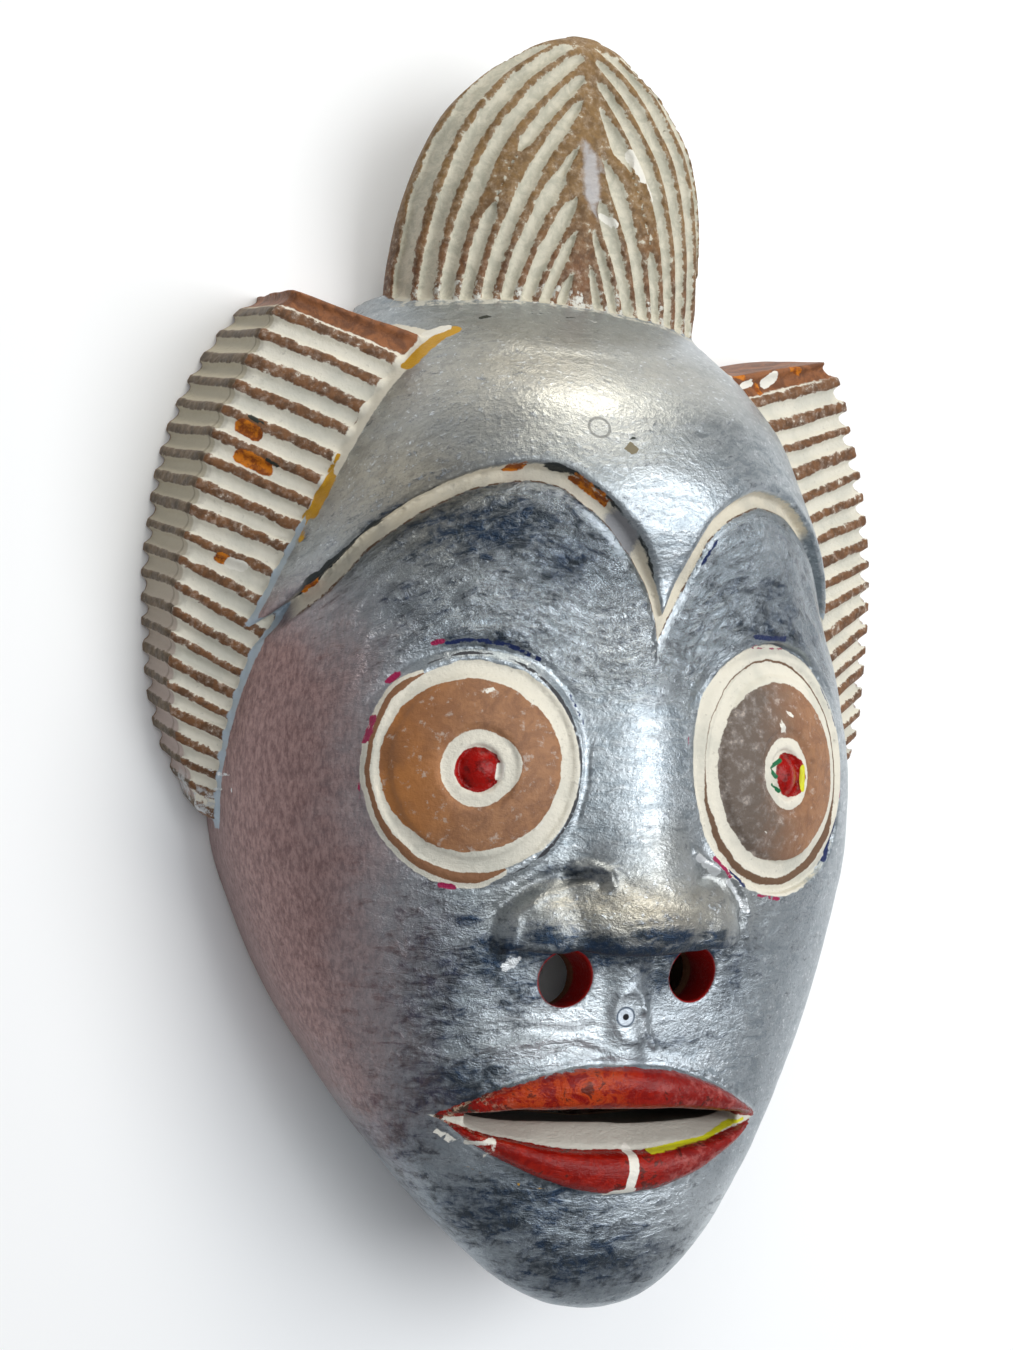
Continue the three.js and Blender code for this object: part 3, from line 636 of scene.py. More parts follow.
# The surface: distances on a grid near the form, then one point per cell that it crosses
def carved_surface():
    step = GRID
    low = np.array([-MASK_HALF, CHIN_END, 0]) - GRID_MARGIN
    high = np.array([MASK_HALF, CREST_TOP, MASK_DEEP]) + GRID_MARGIN
    blocks = np.ceil((high - low) / (step * BLOCK)).astype(int)
    shape = blocks * BLOCK
    centres = np.stack(np.meshgrid(*[np.arange(n) for n in blocks], indexing="ij"), -1).reshape(-1, 3)
    middle = low + (centres * BLOCK + (BLOCK - 1) / 2) * step

    # Only blocks that the form may pass through get all their distances
    coarse = mask_distance(middle)
    near = np.abs(coarse) < step * BLOCK * 0.9 + 2.2
    field = np.repeat(np.where(coarse < 0, -9, 9).reshape(blocks), BLOCK, 0)
    field = np.repeat(np.repeat(field, BLOCK, 1), BLOCK, 2).astype(np.float32)
    local = np.stack(np.meshgrid(*[np.arange(BLOCK)] * 3, indexing="ij"), -1).reshape(-1, 3)
    cells = (centres[near][:, None, :] * BLOCK + local[None]).reshape(-1, 3)
    for part in np.array_split(cells, max(1, len(cells) // CELLS_AT_ONCE)):
        field[part[:, 0], part[:, 1], part[:, 2]] = mask_distance(low + part * step)

    # One point in each cell that the form crosses, in the middle of its crossings
    inside = field < 0
    corners = [(a, b, c) for a in (0, 1) for b in (0, 1) for c in (0, 1)]
    nx, ny, nz = shape - 1
    count = sum(inside[a : a + nx, b : b + ny, c : c + nz].astype(np.uint8) for a, b, c in corners)
    at = np.argwhere((count > 0) & (count < 8))
    number = np.full((nx, ny, nz), -1, np.int32)
    number[at[:, 0], at[:, 1], at[:, 2]] = np.arange(len(at))
    value = {c: field[at[:, 0] + c[0], at[:, 1] + c[1], at[:, 2] + c[2]] for c in corners}
    total, hits = np.zeros((len(at), 3)), np.zeros(len(at))
    for a in corners:
        for axis in range(3):
            if a[axis]:
                continue
            b = tuple(v + (n == axis) for n, v in enumerate(a))
            crossed = (value[a] < 0) != (value[b] < 0)
            t = value[a] / np.where(crossed, value[a] - value[b], 1)
            point = np.array(a, float)[None] + np.where(crossed, t, 0)[:, None] * np.eye(3)[axis]
            total += point * crossed[:, None]
            hits += crossed
    points = low + (at + total / hits[:, None]) * step

    # One face across each edge of the grid that the form crosses
    quads = []
    for axis in range(3):
        u, v = (axis + 1) % 3, (axis + 2) % 3
        first = np.take(inside, range(shape[axis] - 1), axis)
        second = np.take(inside, range(1, shape[axis]), axis)
        edge = np.argwhere(first != second)
        across = edge[:, [u, v]]
        edge = edge[((across > 0) & (across < shape[[u, v]] - 1)).all(1)]
        ids = []
        for du, dv in ((1, 1), (0, 1), (0, 0), (1, 0)):
            cell = edge.copy()
            cell[:, u] -= du
            cell[:, v] -= dv
            ids.append(number[cell[:, 0], cell[:, 1], cell[:, 2]])
        quad = np.stack(ids, 1)
        out = first[edge[:, 0], edge[:, 1], edge[:, 2]]
        quad[~out] = quad[~out][:, ::-1]
        quads.append(quad)
    quads = np.concatenate(quads)
    return settle(points), quads[(quads >= 0).all(1)]


def settle(points, rounds=2):
    """Moves points onto the form along its slope."""
    beyond = 0.2
    for _ in range(rounds):
        here = mask_distance(points)
        steps = [mask_distance(points + beyond * np.eye(3)[axis]) - here for axis in range(3)]
        slope = np.stack(steps, 1) / beyond
        size = np.maximum((slope**2).sum(1), 0.15)
        move = -slope * (here / size)[:, None]
        length = np.linalg.norm(move, axis=1, keepdims=True)
        points = points + move * np.minimum(1, 0.5 / np.maximum(length, 1e-6))
    return points


points, quads = carved_surface()
mesh = bpy.data.meshes.new("carved_mask")
mesh.vertices.add(len(points))
mesh.vertices.foreach_set("co", points.astype(np.float32).ravel())
mesh.loops.add(quads.size)
mesh.loops.foreach_set("vertex_index", quads.astype(np.int32).ravel())
mesh.polygons.add(len(quads))
mesh.polygons.foreach_set("loop_start", np.arange(0, quads.size, 4, dtype=np.int32))
mesh.update(calc_edges=True)
mask = bpy.data.objects.new("carved_mask", mesh)
bpy.context.scene.collection.objects.link(mask)

thin = mask.modifiers.new("thin", "DECIMATE")
thin.ratio = min(1, MOST_TRIANGLES / (2 * len(quads)))
thin.use_collapse_triangulate = True
evaluated = mask.evaluated_get(bpy.context.evaluated_depsgraph_get())
mesh = bpy.data.meshes.new_from_object(evaluated)
mesh.name = "carved_mask"
mask.modifiers.clear()
mask.data = mesh

# Fields that the paint follows, one value per point
co = np.empty(len(mesh.vertices) * 3, np.float32)
mesh.vertices.foreach_get("co", co)
p = co.reshape(-1, 3).astype(float)
x, y, z = p.T


def field(name, values, zone=True, outside=0):
    """Keeps one value per point, and another one outside a zone."""
    kept = np.where(zone, values, outside).astype(np.float32)
    mesh.attributes.new(name, "FLOAT", "POINT").data.foreach_set("value", kept)


def soft(spots):
    """Soft patches: middle x and y, reach across and along, strength."""
    total = np.zeros_like(x)
    for px, py, rx, ry, strength in spots:
        total = np.maximum(total, strength * bell(x, px, rx, y, py, ry))
    return total * (z > 6)


def marks(name, rows, fade=6):
    """Painted marks: half width and the points of each line; positive inside a mark."""
    inside = np.full_like(x, -fade)
    for wide, *line in rows:
        inside = np.maximum(inside, wide - beside(x, y, line))
    field(name, inside, z > 8, -fade)


lock_q, lock_face, lock_flank = lock_frame(x, y, z)
head = section_distance(x, y, z, head_curves, HEAD_POWER)
head = np.where(z > head_curves[1](y), head - table(BROW_PROFILE, brow_distance(x, y)), head)
wing = np.maximum(lock_face, lock_flank)
wing = np.maximum(wing, np.maximum(LOCK_LOW - lock_q, lock_q - LOCK_HIGH) * 0.9)
lock_near = (np.abs(x) > 30) & (y > -36) & (y < 132) & (z < 62)
field("lock", np.clip(head - wing, -6, 12), lock_near, -6)
field("flute", flute(p, lock_q), lock_near)
field("lock_low", LOCK_LOW + 14 - lock_q, lock_near, -9)
inner_x, inner_z, ridge_x, ridge_z = [c(lock_q) for c in lock_curves[:4]]
across_x, across_z = ridge_x - inner_x, ridge_z - inner_z
along = ((np.abs(x) - inner_x) * across_x + (z - inner_z) * across_z) / np.hypot(across_x, across_z)
field("lock_along", np.clip(along, -6, 40))
field("lock_top", lock_q - LOCK_HIGH + 4.2, lock_near, -9)
field("flank", np.clip(lock_flank - lock_face, -6, 8))
line_zone = lock_near & (y > -20) & (y < 116) & (z > 12)
line_wide = 1.4 + 0.8 * (x < 0) * (y > 66)
field("lock_line", line_wide - np.abs(np.clip(wing - head, -3, 9) - 0.8), line_zone, -3)
field("line_cream", unit((y - np.where(x < 0, 60, 84)) / 12))
crest_top = section_distance(x, y, z, crest_curves, 2)
crest_zone = (y > CREST_FOOT) & (crest_top > -3.5)
field("crest", np.clip(head - crest_top, -3, 6), crest_zone, -3)
field("groove", crest_groove(p), crest_zone & (z > crest_curves[1](y) - 4))
field("crest_high", (y - CREST_FOOT) / (CREST_TOP - CREST_FOOT))
foot_zone = (y > 100) & (y < 128) & (np.abs(x) < 50) & (z > 20)
field("crest_line", 1.6 - np.abs(np.maximum(crest_top, CREST_FOOT - y) - 1), foot_zone, -3)

# Brow channel, and how wide the dark line along its upper edge is
brow = brow_distance(x, y) + 0.25 * noise(p, 7, 3.3)
field("brow", np.clip(brow, -15, 15))
EDGE_LEFT = [
    (-80, 1.3), (-62, 1), (-57, 0.45), (-30, 0.4), (-24, 0.8), (-16, 0.6), (-8, 0.4), (2, 0.35), (5, 0),
]
field("edge", table(EDGE_LEFT, x) * (1 + 0.8 * noise(p, 3.5, 2.4)) - 0.25)
field("channel_end", np.where(x > 0, 58 - x, 79 + x))
field("channel_grey", bell(x, -9.5, 5.5, y, 52, 9), x < 0)

# Lips and mouth
top, low = lip_edge(UPPER_LOW, x), lip_edge(LOWER_TOP, x)
my = y + mouth_wobble(p)
in_upper = np.minimum(lip_edge(UPPER_TOP, x) - my, my - top + 1)
in_lower = np.minimum(low - my + 0.3, my - lip_edge(LOWER_LOW, x))
lips = np.minimum(np.maximum(in_upper, in_lower), MOUTH_HALF + 0.5 - np.abs(x - MOUTH_MIDDLE))
ahead_of_back = z > 40
field("lips", np.clip(lips, -6, 6), ahead_of_back, -6)
field("inner_mouth", np.clip(np.minimum(top - my, my - low), -6, 6), ahead_of_back, -6)
slit_top = slit_height(x)
field("deep_mouth", np.clip(np.maximum(my - slit_top, head_level(x, y) - z - 8.6), -6, 6))
field("across", x)
field("up", y)
nostril_level = head_level(NOSTRIL_SIDE, NOSTRIL_Y)
lean = math.tan(math.radians(NOSTRIL_TILT)) * (z - nostril_level)
r = np.hypot(np.abs(x - NOSTRIL_MIDDLE) - NOSTRIL_SIDE, y - NOSTRIL_Y - lean)
field("nostril", np.clip(np.minimum(NOSTRIL_R + 0.5 - r, nostril_level + 2.5 - z), -6, 6))
field("nostril_deep", np.clip((nostril_level - z) / 8, 0, 3))

# Eyes: positive inside each painted ring
RINGS = "ring_out", "band", "ring", "disc", "pupil", "bead", "rim_line"
eye_fields = {name: np.full_like(x, -9) for name in RINGS}
eye_angle = np.zeros_like(x)
for side in (-1, 1):
    lx, ly, lz = eye_local(x, y, z, side)
    r, turn = np.hypot(lx, ly), np.degrees(np.arctan2(ly, lx))
    here = (r < 32) & (lz > -4)
    uneven = 0.3 * noise(p, 6, 8.8) + 0.2 * noise(p, 2.5, 1.8)
    if side < 0:
        low_left = unit((np.cos(np.radians(turn - 205)) - 0.1) * 4)
        rings = {
            "ring_out": np.where(low_left > 0, 24.9 + 2.1 * low_left, 0) - r,
            "band": np.where(low_left > 0, 24 + 1.8 * low_left, 0) - r,
            "ring": 24.9 - np.hypot(lx - 0.2, ly * 1.06),
            "disc": 21.4 - np.hypot(lx + 1.2, (ly - 0.3) * 1.13),
            "pupil": 8.7 + 1.5 * bell(turn, 8, 30) - np.hypot(lx, ly * 1.03),
            "bead": 5.4 - np.hypot(lx + 0.3, ly * 1.1),
            "rim_line": 0.35 - np.abs(r - 25.2) - 3 * low_left,
        }
    else:
        rings = {
            "ring_out": 27.2 - np.hypot(lx + 0.8, ly + 0.5),
            "band": 23.6 + 1.3 * unit(-ly / 16) - np.hypot(lx + 1.2, ly + 0.4),
            "ring": 23.2 - np.hypot(lx + 1.5, ly + 0.5),
            "disc": 19.3 - np.hypot(lx + 1.6, ly + 0.7),
            "pupil": 7.9 - np.hypot(lx, ly),
            "bead": 4.7 - np.hypot((lx - 1.7) * 0.87, ly * 0.94),
        }
    for name, value in rings.items():
        eye_fields[name] = np.where(here, np.clip(value + uneven, -9, 30), eye_fields[name])
    eye_angle = np.where(here, lx / 27, eye_angle)
for name, value in eye_fields.items():
    field(name, value)
field("eye_across", eye_angle)

# Soft patches of the silver: slate where the undercoat shows and as painted shade, mauve as a painted
# reflection, the warm forehead and nose, and painted highlights
over_eyes = brow_zone(x, y)
# Slate undercoat where it shows; the patches under the nose and along its creases are painted shade
field("slate_and_shade", np.maximum(soft([
    (-38, 54, 26, 10, 1), (-22, 48, 14, 11, 0.9), (-54, 36, 14, 8, 0.6), (-34, 28, 28, 3, 0.7),
    (42, 38, 16, 14, 0.8), (24, 42, 12, 12, 0.6), (44, 33, 22, 3, 0.9), (22, 10, 5, 14, 0.5),
    (-46, -55, 13, 28, 0.85), (-42, -78, 14, 9, 1.1), (-10, -46.5, 28, 4, 1.4), (-34, -47, 8, 7, 1.2),
    (16, -46.5, 18, 3.4, 1.3), (-27, -56, 8, 8, 0.9), (31, -54, 6, 8, 0.8), (7, -53, 6, 7, 0.9),
    (-26, -108, 26, 12, 1), (-6, -122, 26, 10, 1), (-52, -92, 11, 18, 0.8), (14, -69, 16, 2.5, 0.6),
    (-14, -43.4, 11, 2.4, 1.3), (4, -42, 12, 2.6, 1.3), (18, -42.8, 8, 2.2, 1.2), (-25, -42, 6, 3, 1.3),
    (-15, -27.6, 7, 1.6, 1), (-22, -27, 6, 2, 0.9), (34, -48, 7, 10, 0.6), (60, -38, 14, 12, 0.2),
]), 0.3 * over_eyes))
# Mauve on the left cheek: a painted reflection, darker towards the left edge as painted shade
from_side = unit((-42 - x - 0.1 * y) / 40)
field("mauve_reflection", from_side * unit((56 - y) / 30) * unit((y + 112) / 30))
field("warm", soft([
    (-30, 90, 40, 22, 0.75), (-56, 66, 20, 20, 0.8), (10, 96, 30, 14, 0.5), (0, -36, 28, 9, 0.95),
    (4, -24, 8, 10, 0.4), (20, -36, 12, 10, 0.6), (-20, -36, 10, 8, 0.6),
]))
# Patches of painted highlight on the silver
field("highlight_patch", soft([
    (-6, 14, 9, 30, 0.15), (-18, -64, 20, 8, 0.9), (26, -112, 16, 12, 0.7), (-20, 84, 26, 12, 0.5),
    (-8, 28, 16, 10, 0.7), (8, -28, 9, 8, 0.2), (-18, -52, 8, 4, 0.4), (-26, -68, 12, 4, 0.6),
]))
field("rough", np.maximum(over_eyes, soft([
    (-30, -66, 24, 14, 0.8), (0, 10, 26, 40, 0.12), (-44, -50, 20, 24, 0.5), (30, -50, 14, 20, 0.4),
    (-10, -112, 30, 14, 0.5), (0, -36, 30, 12, 0.4),
])))

# Where the brush went: across the face, and bent along the brow above the eyes
bend = unit((y - 4) / 26) * unit((np.abs(x - BROW_MIDDLE) - 5) / 16) * 0.6
flow = mesh.attributes.new("flow", "FLOAT_VECTOR", "POINT")
flow_y = y - bend * (brow_height(x) - 60)
flow_points = np.stack([x, flow_y, z * 0.5], 1) / 1000
flow.data.foreach_set("vector", flow_points.astype(np.float32).ravel())

# Single marks of paint and wear, and painted highlights
marks("orange", [
    (1.8, (-89.6, 82.8), (-86.4, 80.8)), (1.9, (-89.6, 75.2), (-83.5, 72.1)),
    (1.2, (-93.4, 50), (-92.1, 49.2)), (0.8, (-75, 41.2), (-72.6, 43)), (0.7, (-36, 68.2), (-32.4, 68.6)),
    (0.6, (-21.5, 66), (-13.4, 59.8)), (1, (54, 107), (55, 105)), (1.1, (66, 113.6), (69, 113)),
    (1, (46, 109), (49, 108.6)),
])
marks("dark", [
    (0.7, (-88, 85), (-84.8, 83)), (0.5, (-84, 74.8), (-81, 72.8)), (0.7, (-30, 115), (-27, 116)),
    (0.5, (-17, 116.8), (-13, 117.6)), (0.4, (-8, 116.6), (-5, 117)), (0.4, (-11, 75.4), (-4.4, 76.8)),
])
marks("ochre", [
    (0.5, (-66.6, 76), (-68.4, 72)), (1.1, (-68.6, 70), (-71.4, 64), (-73.4, 60)),
    (0.5, (-74.4, 57), (-76, 52.6)), (1.3, (-50.4, 99.4), (-46.4, 104), (-41.6, 108.4), (-37.6, 110.6)),
    (0.3, (-38, -97.4), (-32, -99.6)), (0.35, (-28, -101), (-18, -103.6)),
])
marks("magenta", [
    (0.7, (-47.6, -30.4), (-44.4, -30.9)), (0.8, (-59.4, 17.4), (-57.4, 19.2)),
    (0.5, (-62.8, 9), (-64.6, 3)), (0.4, (-66, -5), (-65.4, -12)), (0.6, (-50, 26.6), (-47.6, 27.2)),
    (0.4, (13.2, 9), (11.4, 0), (12.6, -10)), (0.6, (21, -24), (26.6, -28.6)),
    (0.5, (36, -33.6), (44, -34.6)), (0.7, (70.6, 2), (70.8, -8)), (0.3, (34, 29.4), (48, 30)),
])
marks("navy", [
    (0.6, (-47, 26.6), (-43, 27.4), (-38, 27.3), (-32, 26.2), (-25, 23)), (0.3, (-18.6, 16), (-15.2, 8)),
    (0.7, (34, 31.6), (46, 32.2)), (0.45, (62, 21), (68, 11)), (0.7, (63, -25), (68.6, -14)),
    (0.6, (26, -27), (31, -31)), (0.5, (14.6, 48), (17.6, 53.6)),
])
marks("white", [
    (0.8, (-44, -89.2), (-40, -91.6)), (0.7, (-37.6, -91.6), (-32.4, -90.6)),
    (0.4, (-32.6, -91), (-33.2, -95)), (0.5, (-31, 12), (-28, 12.6)), (0.5, (-41, 14.8), (-37, 15.6)),
    (0.5, (-27, -17), (-25, -15)), (0.5, (44, 13), (47, 12)), (0.4, (36, -17), (38, -19)),
    (0.9, (41, 10.4), (43, 8)), (1.3, (-91, 48.6), (-88, 47.6)), (1.6, (60, 110.4), (57, 108)),
    (1, (52, 107.4), (49, 106)), (1.2, (-44, 109.4), (-39, 111.6)), (1.5, (13, 166), (17, 160)),
    (0.9, (19, 159), (21, 156)), (1, (5, 148), (9, 146)),
])

# Fine lines that painted_wood works out in the shader, because they are finer than the mesh's points
STROKES = {
    "yellow": [(0.4, (7, -95.2), (24, -93.8), (38.4, -90.7)), (0.8, (50.2, -1), (50, -6.4))],
    "white": [
        (1.3, (1.6, -94.6), (0.4, -103.2)), (1.1, (-3.4, -104.4), (1.6, -104)),
        # The line below is a painted highlight on the left eye's red bead
        (0.9, (-36.2, -2.6), (-36.6, -5)),
    ],
    "green": [(0.55, (41.4, 0.6), (38, -1.4), (39.8, -3.6)), (0.5, (38.2, -5.6), (41.4, -7.2))],
}

# Painted highlights: short light streaks on the nose, the forehead's top edge and the lower end of the left
# lock
marks("painted_glint", [
    (0.3, (-8, 115.6), (2, 116.3)), (1, (15.5, -23.6), (22, -27.4)), (0.8, (26, -30), (32.6, -37)),
    (0.4, (-92.8, -3.4), (-89.6, -4.8)), (0.4, (-91, -8), (-89, -8.6)), (1.3, (-28.6, -47.6), (-31.4, -50)),
])
marks("scrape", [
    (2.4, (0.4, 162), (1.4, 152)), (1.2, (-1.6, 166), (3.6, 160)), (0.8, (1.6, 150), (2.8, 147)),
])
marks("worn", [(1.5, (-9.6, 74.6), (-7.4, 73.2)), (0.5, (-12, 77), (-9, 76.6))])

# Bare wood: the hollow and the rim
half, deep = [c(y) for c in hollow_curves]
in_hollow = 1 - np.sqrt((x / half) ** 2 + np.clip(z / deep, 0, 3) ** 2.22)
bare = np.where((y > HOLLOW_ROWS[0][0]) & (y < HOLLOW_ROWS[-1][0]), in_hollow * 40 + 3.5, -9)
bare = np.maximum(bare, 1.2 - z)
field("bare", np.clip(bare, -6, 6))

# Into the frame, in metres
moved = (p + [0, SHIFT_Y, 0]) / 1000
moved = np.clip(moved, np.array(cad_low), np.array(cad_high))
mesh.vertices.foreach_set("co", moved.astype(np.float32).ravel())
mesh.polygons.foreach_set("use_smooth", np.ones(len(mesh.polygons), bool))
mesh.update()


# Paint: one material, with short ways to make its nodes
GLOSS, BUMP = 0.2, 0.65
material = bpy.data.materials.new("painted_wood")
material.use_nodes = True
tree = material.node_tree
tree.nodes.clear()


def put(socket, value):
    if isinstance(value, bpy.types.NodeSocket):
        tree.links.new(value, socket)
    elif socket.type == "RGBA":
        socket.default_value = (*value, 1)
    else:
        socket.default_value = value


def node(kind, inputs, **settings):
    made = tree.nodes.new("ShaderNode" + kind)
    for key, value in settings.items():
        setattr(made, key, value)
    for key, value in inputs.items():
        put(made.inputs[key], value)
    return made


def calc(kind, a, b=0, c=0, clamp=False):
    return node("Math", {0: a, 1: b, 2: c}, operation=kind, use_clamp=clamp).outputs[0]


def vector(kind, inputs, output="Vector"):
    return node("VectorMath", inputs, operation=kind).outputs[output]


def stored(name, output="Fac"):
    """A field of the mesh."""
    return node("Attribute", {}, attribute_name=name, attribute_type="GEOMETRY").outputs[output]


def texture(where, scale, detail=2, rough=0.5, distortion=0):
    inputs = {"Vector": where, "Scale": scale, "Detail": detail, "Roughness": rough}
    return node("TexNoise", {**inputs, "Distortion": distortion}).outputs["Fac"]


def stretched(where, scale):
    return node("Mapping", {"Vector": where, "Scale": scale}).outputs[0]


def step(value, start, end):
    """0 below start and 1 above end, with a smooth way between."""
    inputs = {"Value": value, "From Min": start, "From Max": end}
    return node("MapRange", inputs, interpolation_type="SMOOTHSTEP").outputs[0]


def blend(share, a, b):
    """Between two colours."""
    return node("Mix", {0: share, 6: a, 7: b}, data_type="RGBA").outputs[2]


def mix(share, a, b):
    """Between two plain values."""
    return node("Mix", {0: share, 2: a, 3: b}, data_type="FLOAT").outputs[0]


def plus(a, b):
    return calc("ADD", a, b)


def minus(a, b):
    return calc("SUBTRACT", a, b)


def both(a, b):
    return calc("MULTIPLY", a, b)


def scaled(value, by, more=0):
    return calc("MULTIPLY_ADD", value, by, more)


def apart(a, b):
    return calc("ABSOLUTE", minus(a, b))


def fall(value, start, end):
    """1 below start and 0 above end."""
    return minus(1, step(value, start, end))


def tone(value, start, end, a, b):
    """One colour where the value is low and another where it is high."""
    return blend(step(value, start, end), a, b)


def painted_wood():
    where = node("TexCoord", {}).outputs["Object"]
    flow = stored("flow", "Vector")
    fine = texture(where, 700, 4, 0.65)
    patch = texture(where, 60, 4, 0.6)
    cloud = texture(where, 17, 3, 0.55)
    grit = texture(where, 1700, 2, 0.6)
    jag = minus(texture(where, 520, 4, 0.65), 0.5)
    chips = texture(where, 330, 5, 0.7)
    crinkle = texture(stretched(flow, (0.42, 1, 0.6)), 380, 5, 0.72, 0.5)
    mottle = texture(where, 230, 5, 0.7, 0.6)
    mauve_reflection = step(plus(stored("mauve_reflection"), scaled(patch, 0.5, -0.25)), 0.05, 0.95)
    rough_zone = stored("rough")
    flat = stretched(where, (1000, 1000, 0))
    across, up = stored("across"), stored("up")

    def ragged(name, by=0.9):
        return plus(stored(name), scaled(jag, by))

    def away(line):
        """Distance in millimetres, across x and y, from a line through points."""
        nearest = 99
        for (ax, ay), (bx, by) in zip(line, line[1:] or line):
            along = (bx - ax, by - ay, 0)
            start = vector("SUBTRACT", {0: flat, 1: (ax, ay + SHIFT_Y, 0)})
            dot = vector("DOT_PRODUCT", {0: start, 1: along}, "Value")
            length = math.hypot(*along) or 1
            share = calc("MULTIPLY", dot, 1 / length**2, clamp=True)
            foot = vector("SCALE", {0: along, "Scale": share})
            nearest = calc("MINIMUM", nearest, vector("DISTANCE", {0: start, 1: foot}, "Value"))
        return nearest

    # Silver with a slate undercoat, which also darkens it as painted shade under the nose and along its
    # creases
    under = plus(scaled(crinkle, 0.75), scaled(fine, 0.25))
    under = plus(under, scaled(mottle, 0.25))
    under = step(plus(under, scaled(stored("slate_and_shade"), 0.23)), 0.62, 0.9)
    silver = tone(crinkle, 0.36, 0.64, (0.27, 0.31, 0.34), (0.5, 0.54, 0.565))
    silver = blend(scaled(step(cloud, 0.4, 0.65), 0.6), silver, (0.38, 0.42, 0.45))
    gold = tone(mottle, 0.38, 0.6, (0.32, 0.285, 0.22), (0.47, 0.425, 0.33))
    silver = blend(stored("warm"), silver, gold)
    # Painted highlights on the silver
    silver = blend(scaled(stored("highlight_patch"), 0.7), silver, (0.78, 0.83, 0.85))
    # Small light specks in the silver: painted glints
    silver = blend(both(step(fine, 0.56, 0.66), step(crinkle, 0.42, 0.58)), silver, (0.8, 0.84, 0.86))
    silver = blend(scaled(step(grit, 0.58, 0.7), 0.5), silver, (0.16, 0.18, 0.2))
    dark = tone(mottle, 0.42, 0.58, (0.026, 0.046, 0.082), (0.05, 0.062, 0.076))
    color = blend(under, silver, dark)
    grain = texture(stretched(where, (1, 0.4, 1)), 900, 5, 0.72, 0.2)
    # The mauve is a painted reflection, with painted shade towards the left edge
    reflected_pink = tone(grain, 0.32, 0.68, (0.17, 0.082, 0.076), (0.38, 0.23, 0.21))
    color = blend(scaled(mauve_reflection, 0.9), color, reflected_pink)
    metal = mix(mauve_reflection, mix(under, 0.86, 0.7), 0.5)
    rough = mix(step(fine, 0.35, 0.7), 0.4, 0.28)
    rough = mix(rough_zone, rough, 0.26)
    rough = mix(mauve_reflection, rough, 0.42)

    def paint(share, new_color, new_metal, new_rough):
        """Another coat over the share of the surface."""
        nonlocal color, metal, rough
        color = blend(share, color, new_color)
        metal = mix(share, metal, new_metal)
        rough = mix(share, rough, new_rough)

    # Cream and brown that several parts share
    cream = tone(patch, 0.42, 0.66, (0.7, 0.66, 0.56), (0.58, 0.56, 0.48))
    cream = tone(fine, 0.6, 0.75, cream, (0.5, 0.47, 0.4))
    rib = tone(mottle, 0.38, 0.62, (0.185, 0.086, 0.038), (0.105, 0.053, 0.027))
    wear = both(step(chips, 0.56, 0.7), 0.45)
    rib = blend(wear, rib, (0.52, 0.42, 0.34))

    # Brow channel with its dark edge
    b = ragged("brow", 0.9)
    ends = step(stored("channel_end"), 0, 4)
    inside = both(step(b, -3.9, -3.7), fall(b, -0.1, 0.1))
    channel = tone(patch, 0.45, 0.6, (0.68, 0.62, 0.5), (0.56, 0.52, 0.43))
    channel = tone(ragged("channel_grey", 0.6), 0.35, 0.6, channel, (0.27, 0.27, 0.28))
    paint(both(inside, ends), channel, 0, 0.6)
    wall = minus(stored("edge"), apart(b, 0.1))
    paint(both(step(wall, 0, 0.25), ends), (0.03, 0.034, 0.034), 0.1, 0.5)
    lower = both(step(b, -4.2, -3.9), fall(b, -3.7, -3.5))
    paint(both(both(lower, ends), step(chips, 0.42, 0.55)), (0.13, 0.075, 0.045), 0, 0.6)

    # Eyes
    def ring(name, new_color, new_rough, by=0.8):
        paint(step(ragged(name, by), -0.12, 0.12), new_color, 0, new_rough)

    ring("ring_out", cream, 0.6)
    ring("band", tone(across, -1, 1, (0.23, 0.11, 0.055), (0.15, 0.085, 0.05)), 0.55)
    ring("ring", cream, 0.6)
    left_side = both(fall(across, -1, 1), fall(stored("eye_across"), -0.7, 0.1))
    iris = tone(mottle, 0.36, 0.64, (0.34, 0.17, 0.085), (0.235, 0.115, 0.062))
    iris = blend(scaled(left_side, 0.8), iris, tone(patch, 0.4, 0.6, (0.4, 0.155, 0.04), (0.27, 0.11, 0.04)))
    eye_side = plus(stored("eye_across"), scaled(mottle, 0.8, -0.4))
    grey_iris = both(step(across, -1, 1), fall(eye_side, -0.45, 0.35))
    iris = blend(grey_iris, iris, tone(chips, 0.45, 0.6, (0.13, 0.1, 0.08), (0.2, 0.17, 0.15)))
    iris = blend(both(step(chips, 0.57, 0.68), 0.6), iris, (0.5, 0.42, 0.36))
    ring("disc", iris, 0.5, 1.1)
    ring("pupil", cream, 0.6)
    ring("bead", tone(chips, 0.5, 0.66, (0.3, 0.004, 0.002), (0.15, 0.003, 0.002)), 0.07)
    paint(step(ragged("rim_line", 0.5), -0.1, 0.15), (0.05, 0.05, 0.055), 0.1, 0.5)

    # Nostrils and mouth
    in_nostril = step(stored("nostril"), 0, 0.3)
    # Red walls that darken deeper in as painted shade
    nostril_red_and_shade = tone(stored("nostril_deep"), 1, 2.4, (0.33, 0.012, 0.01), (0.03, 0.006, 0.006))
    paint(in_nostril, nostril_red_and_shade, 0, 0.35)
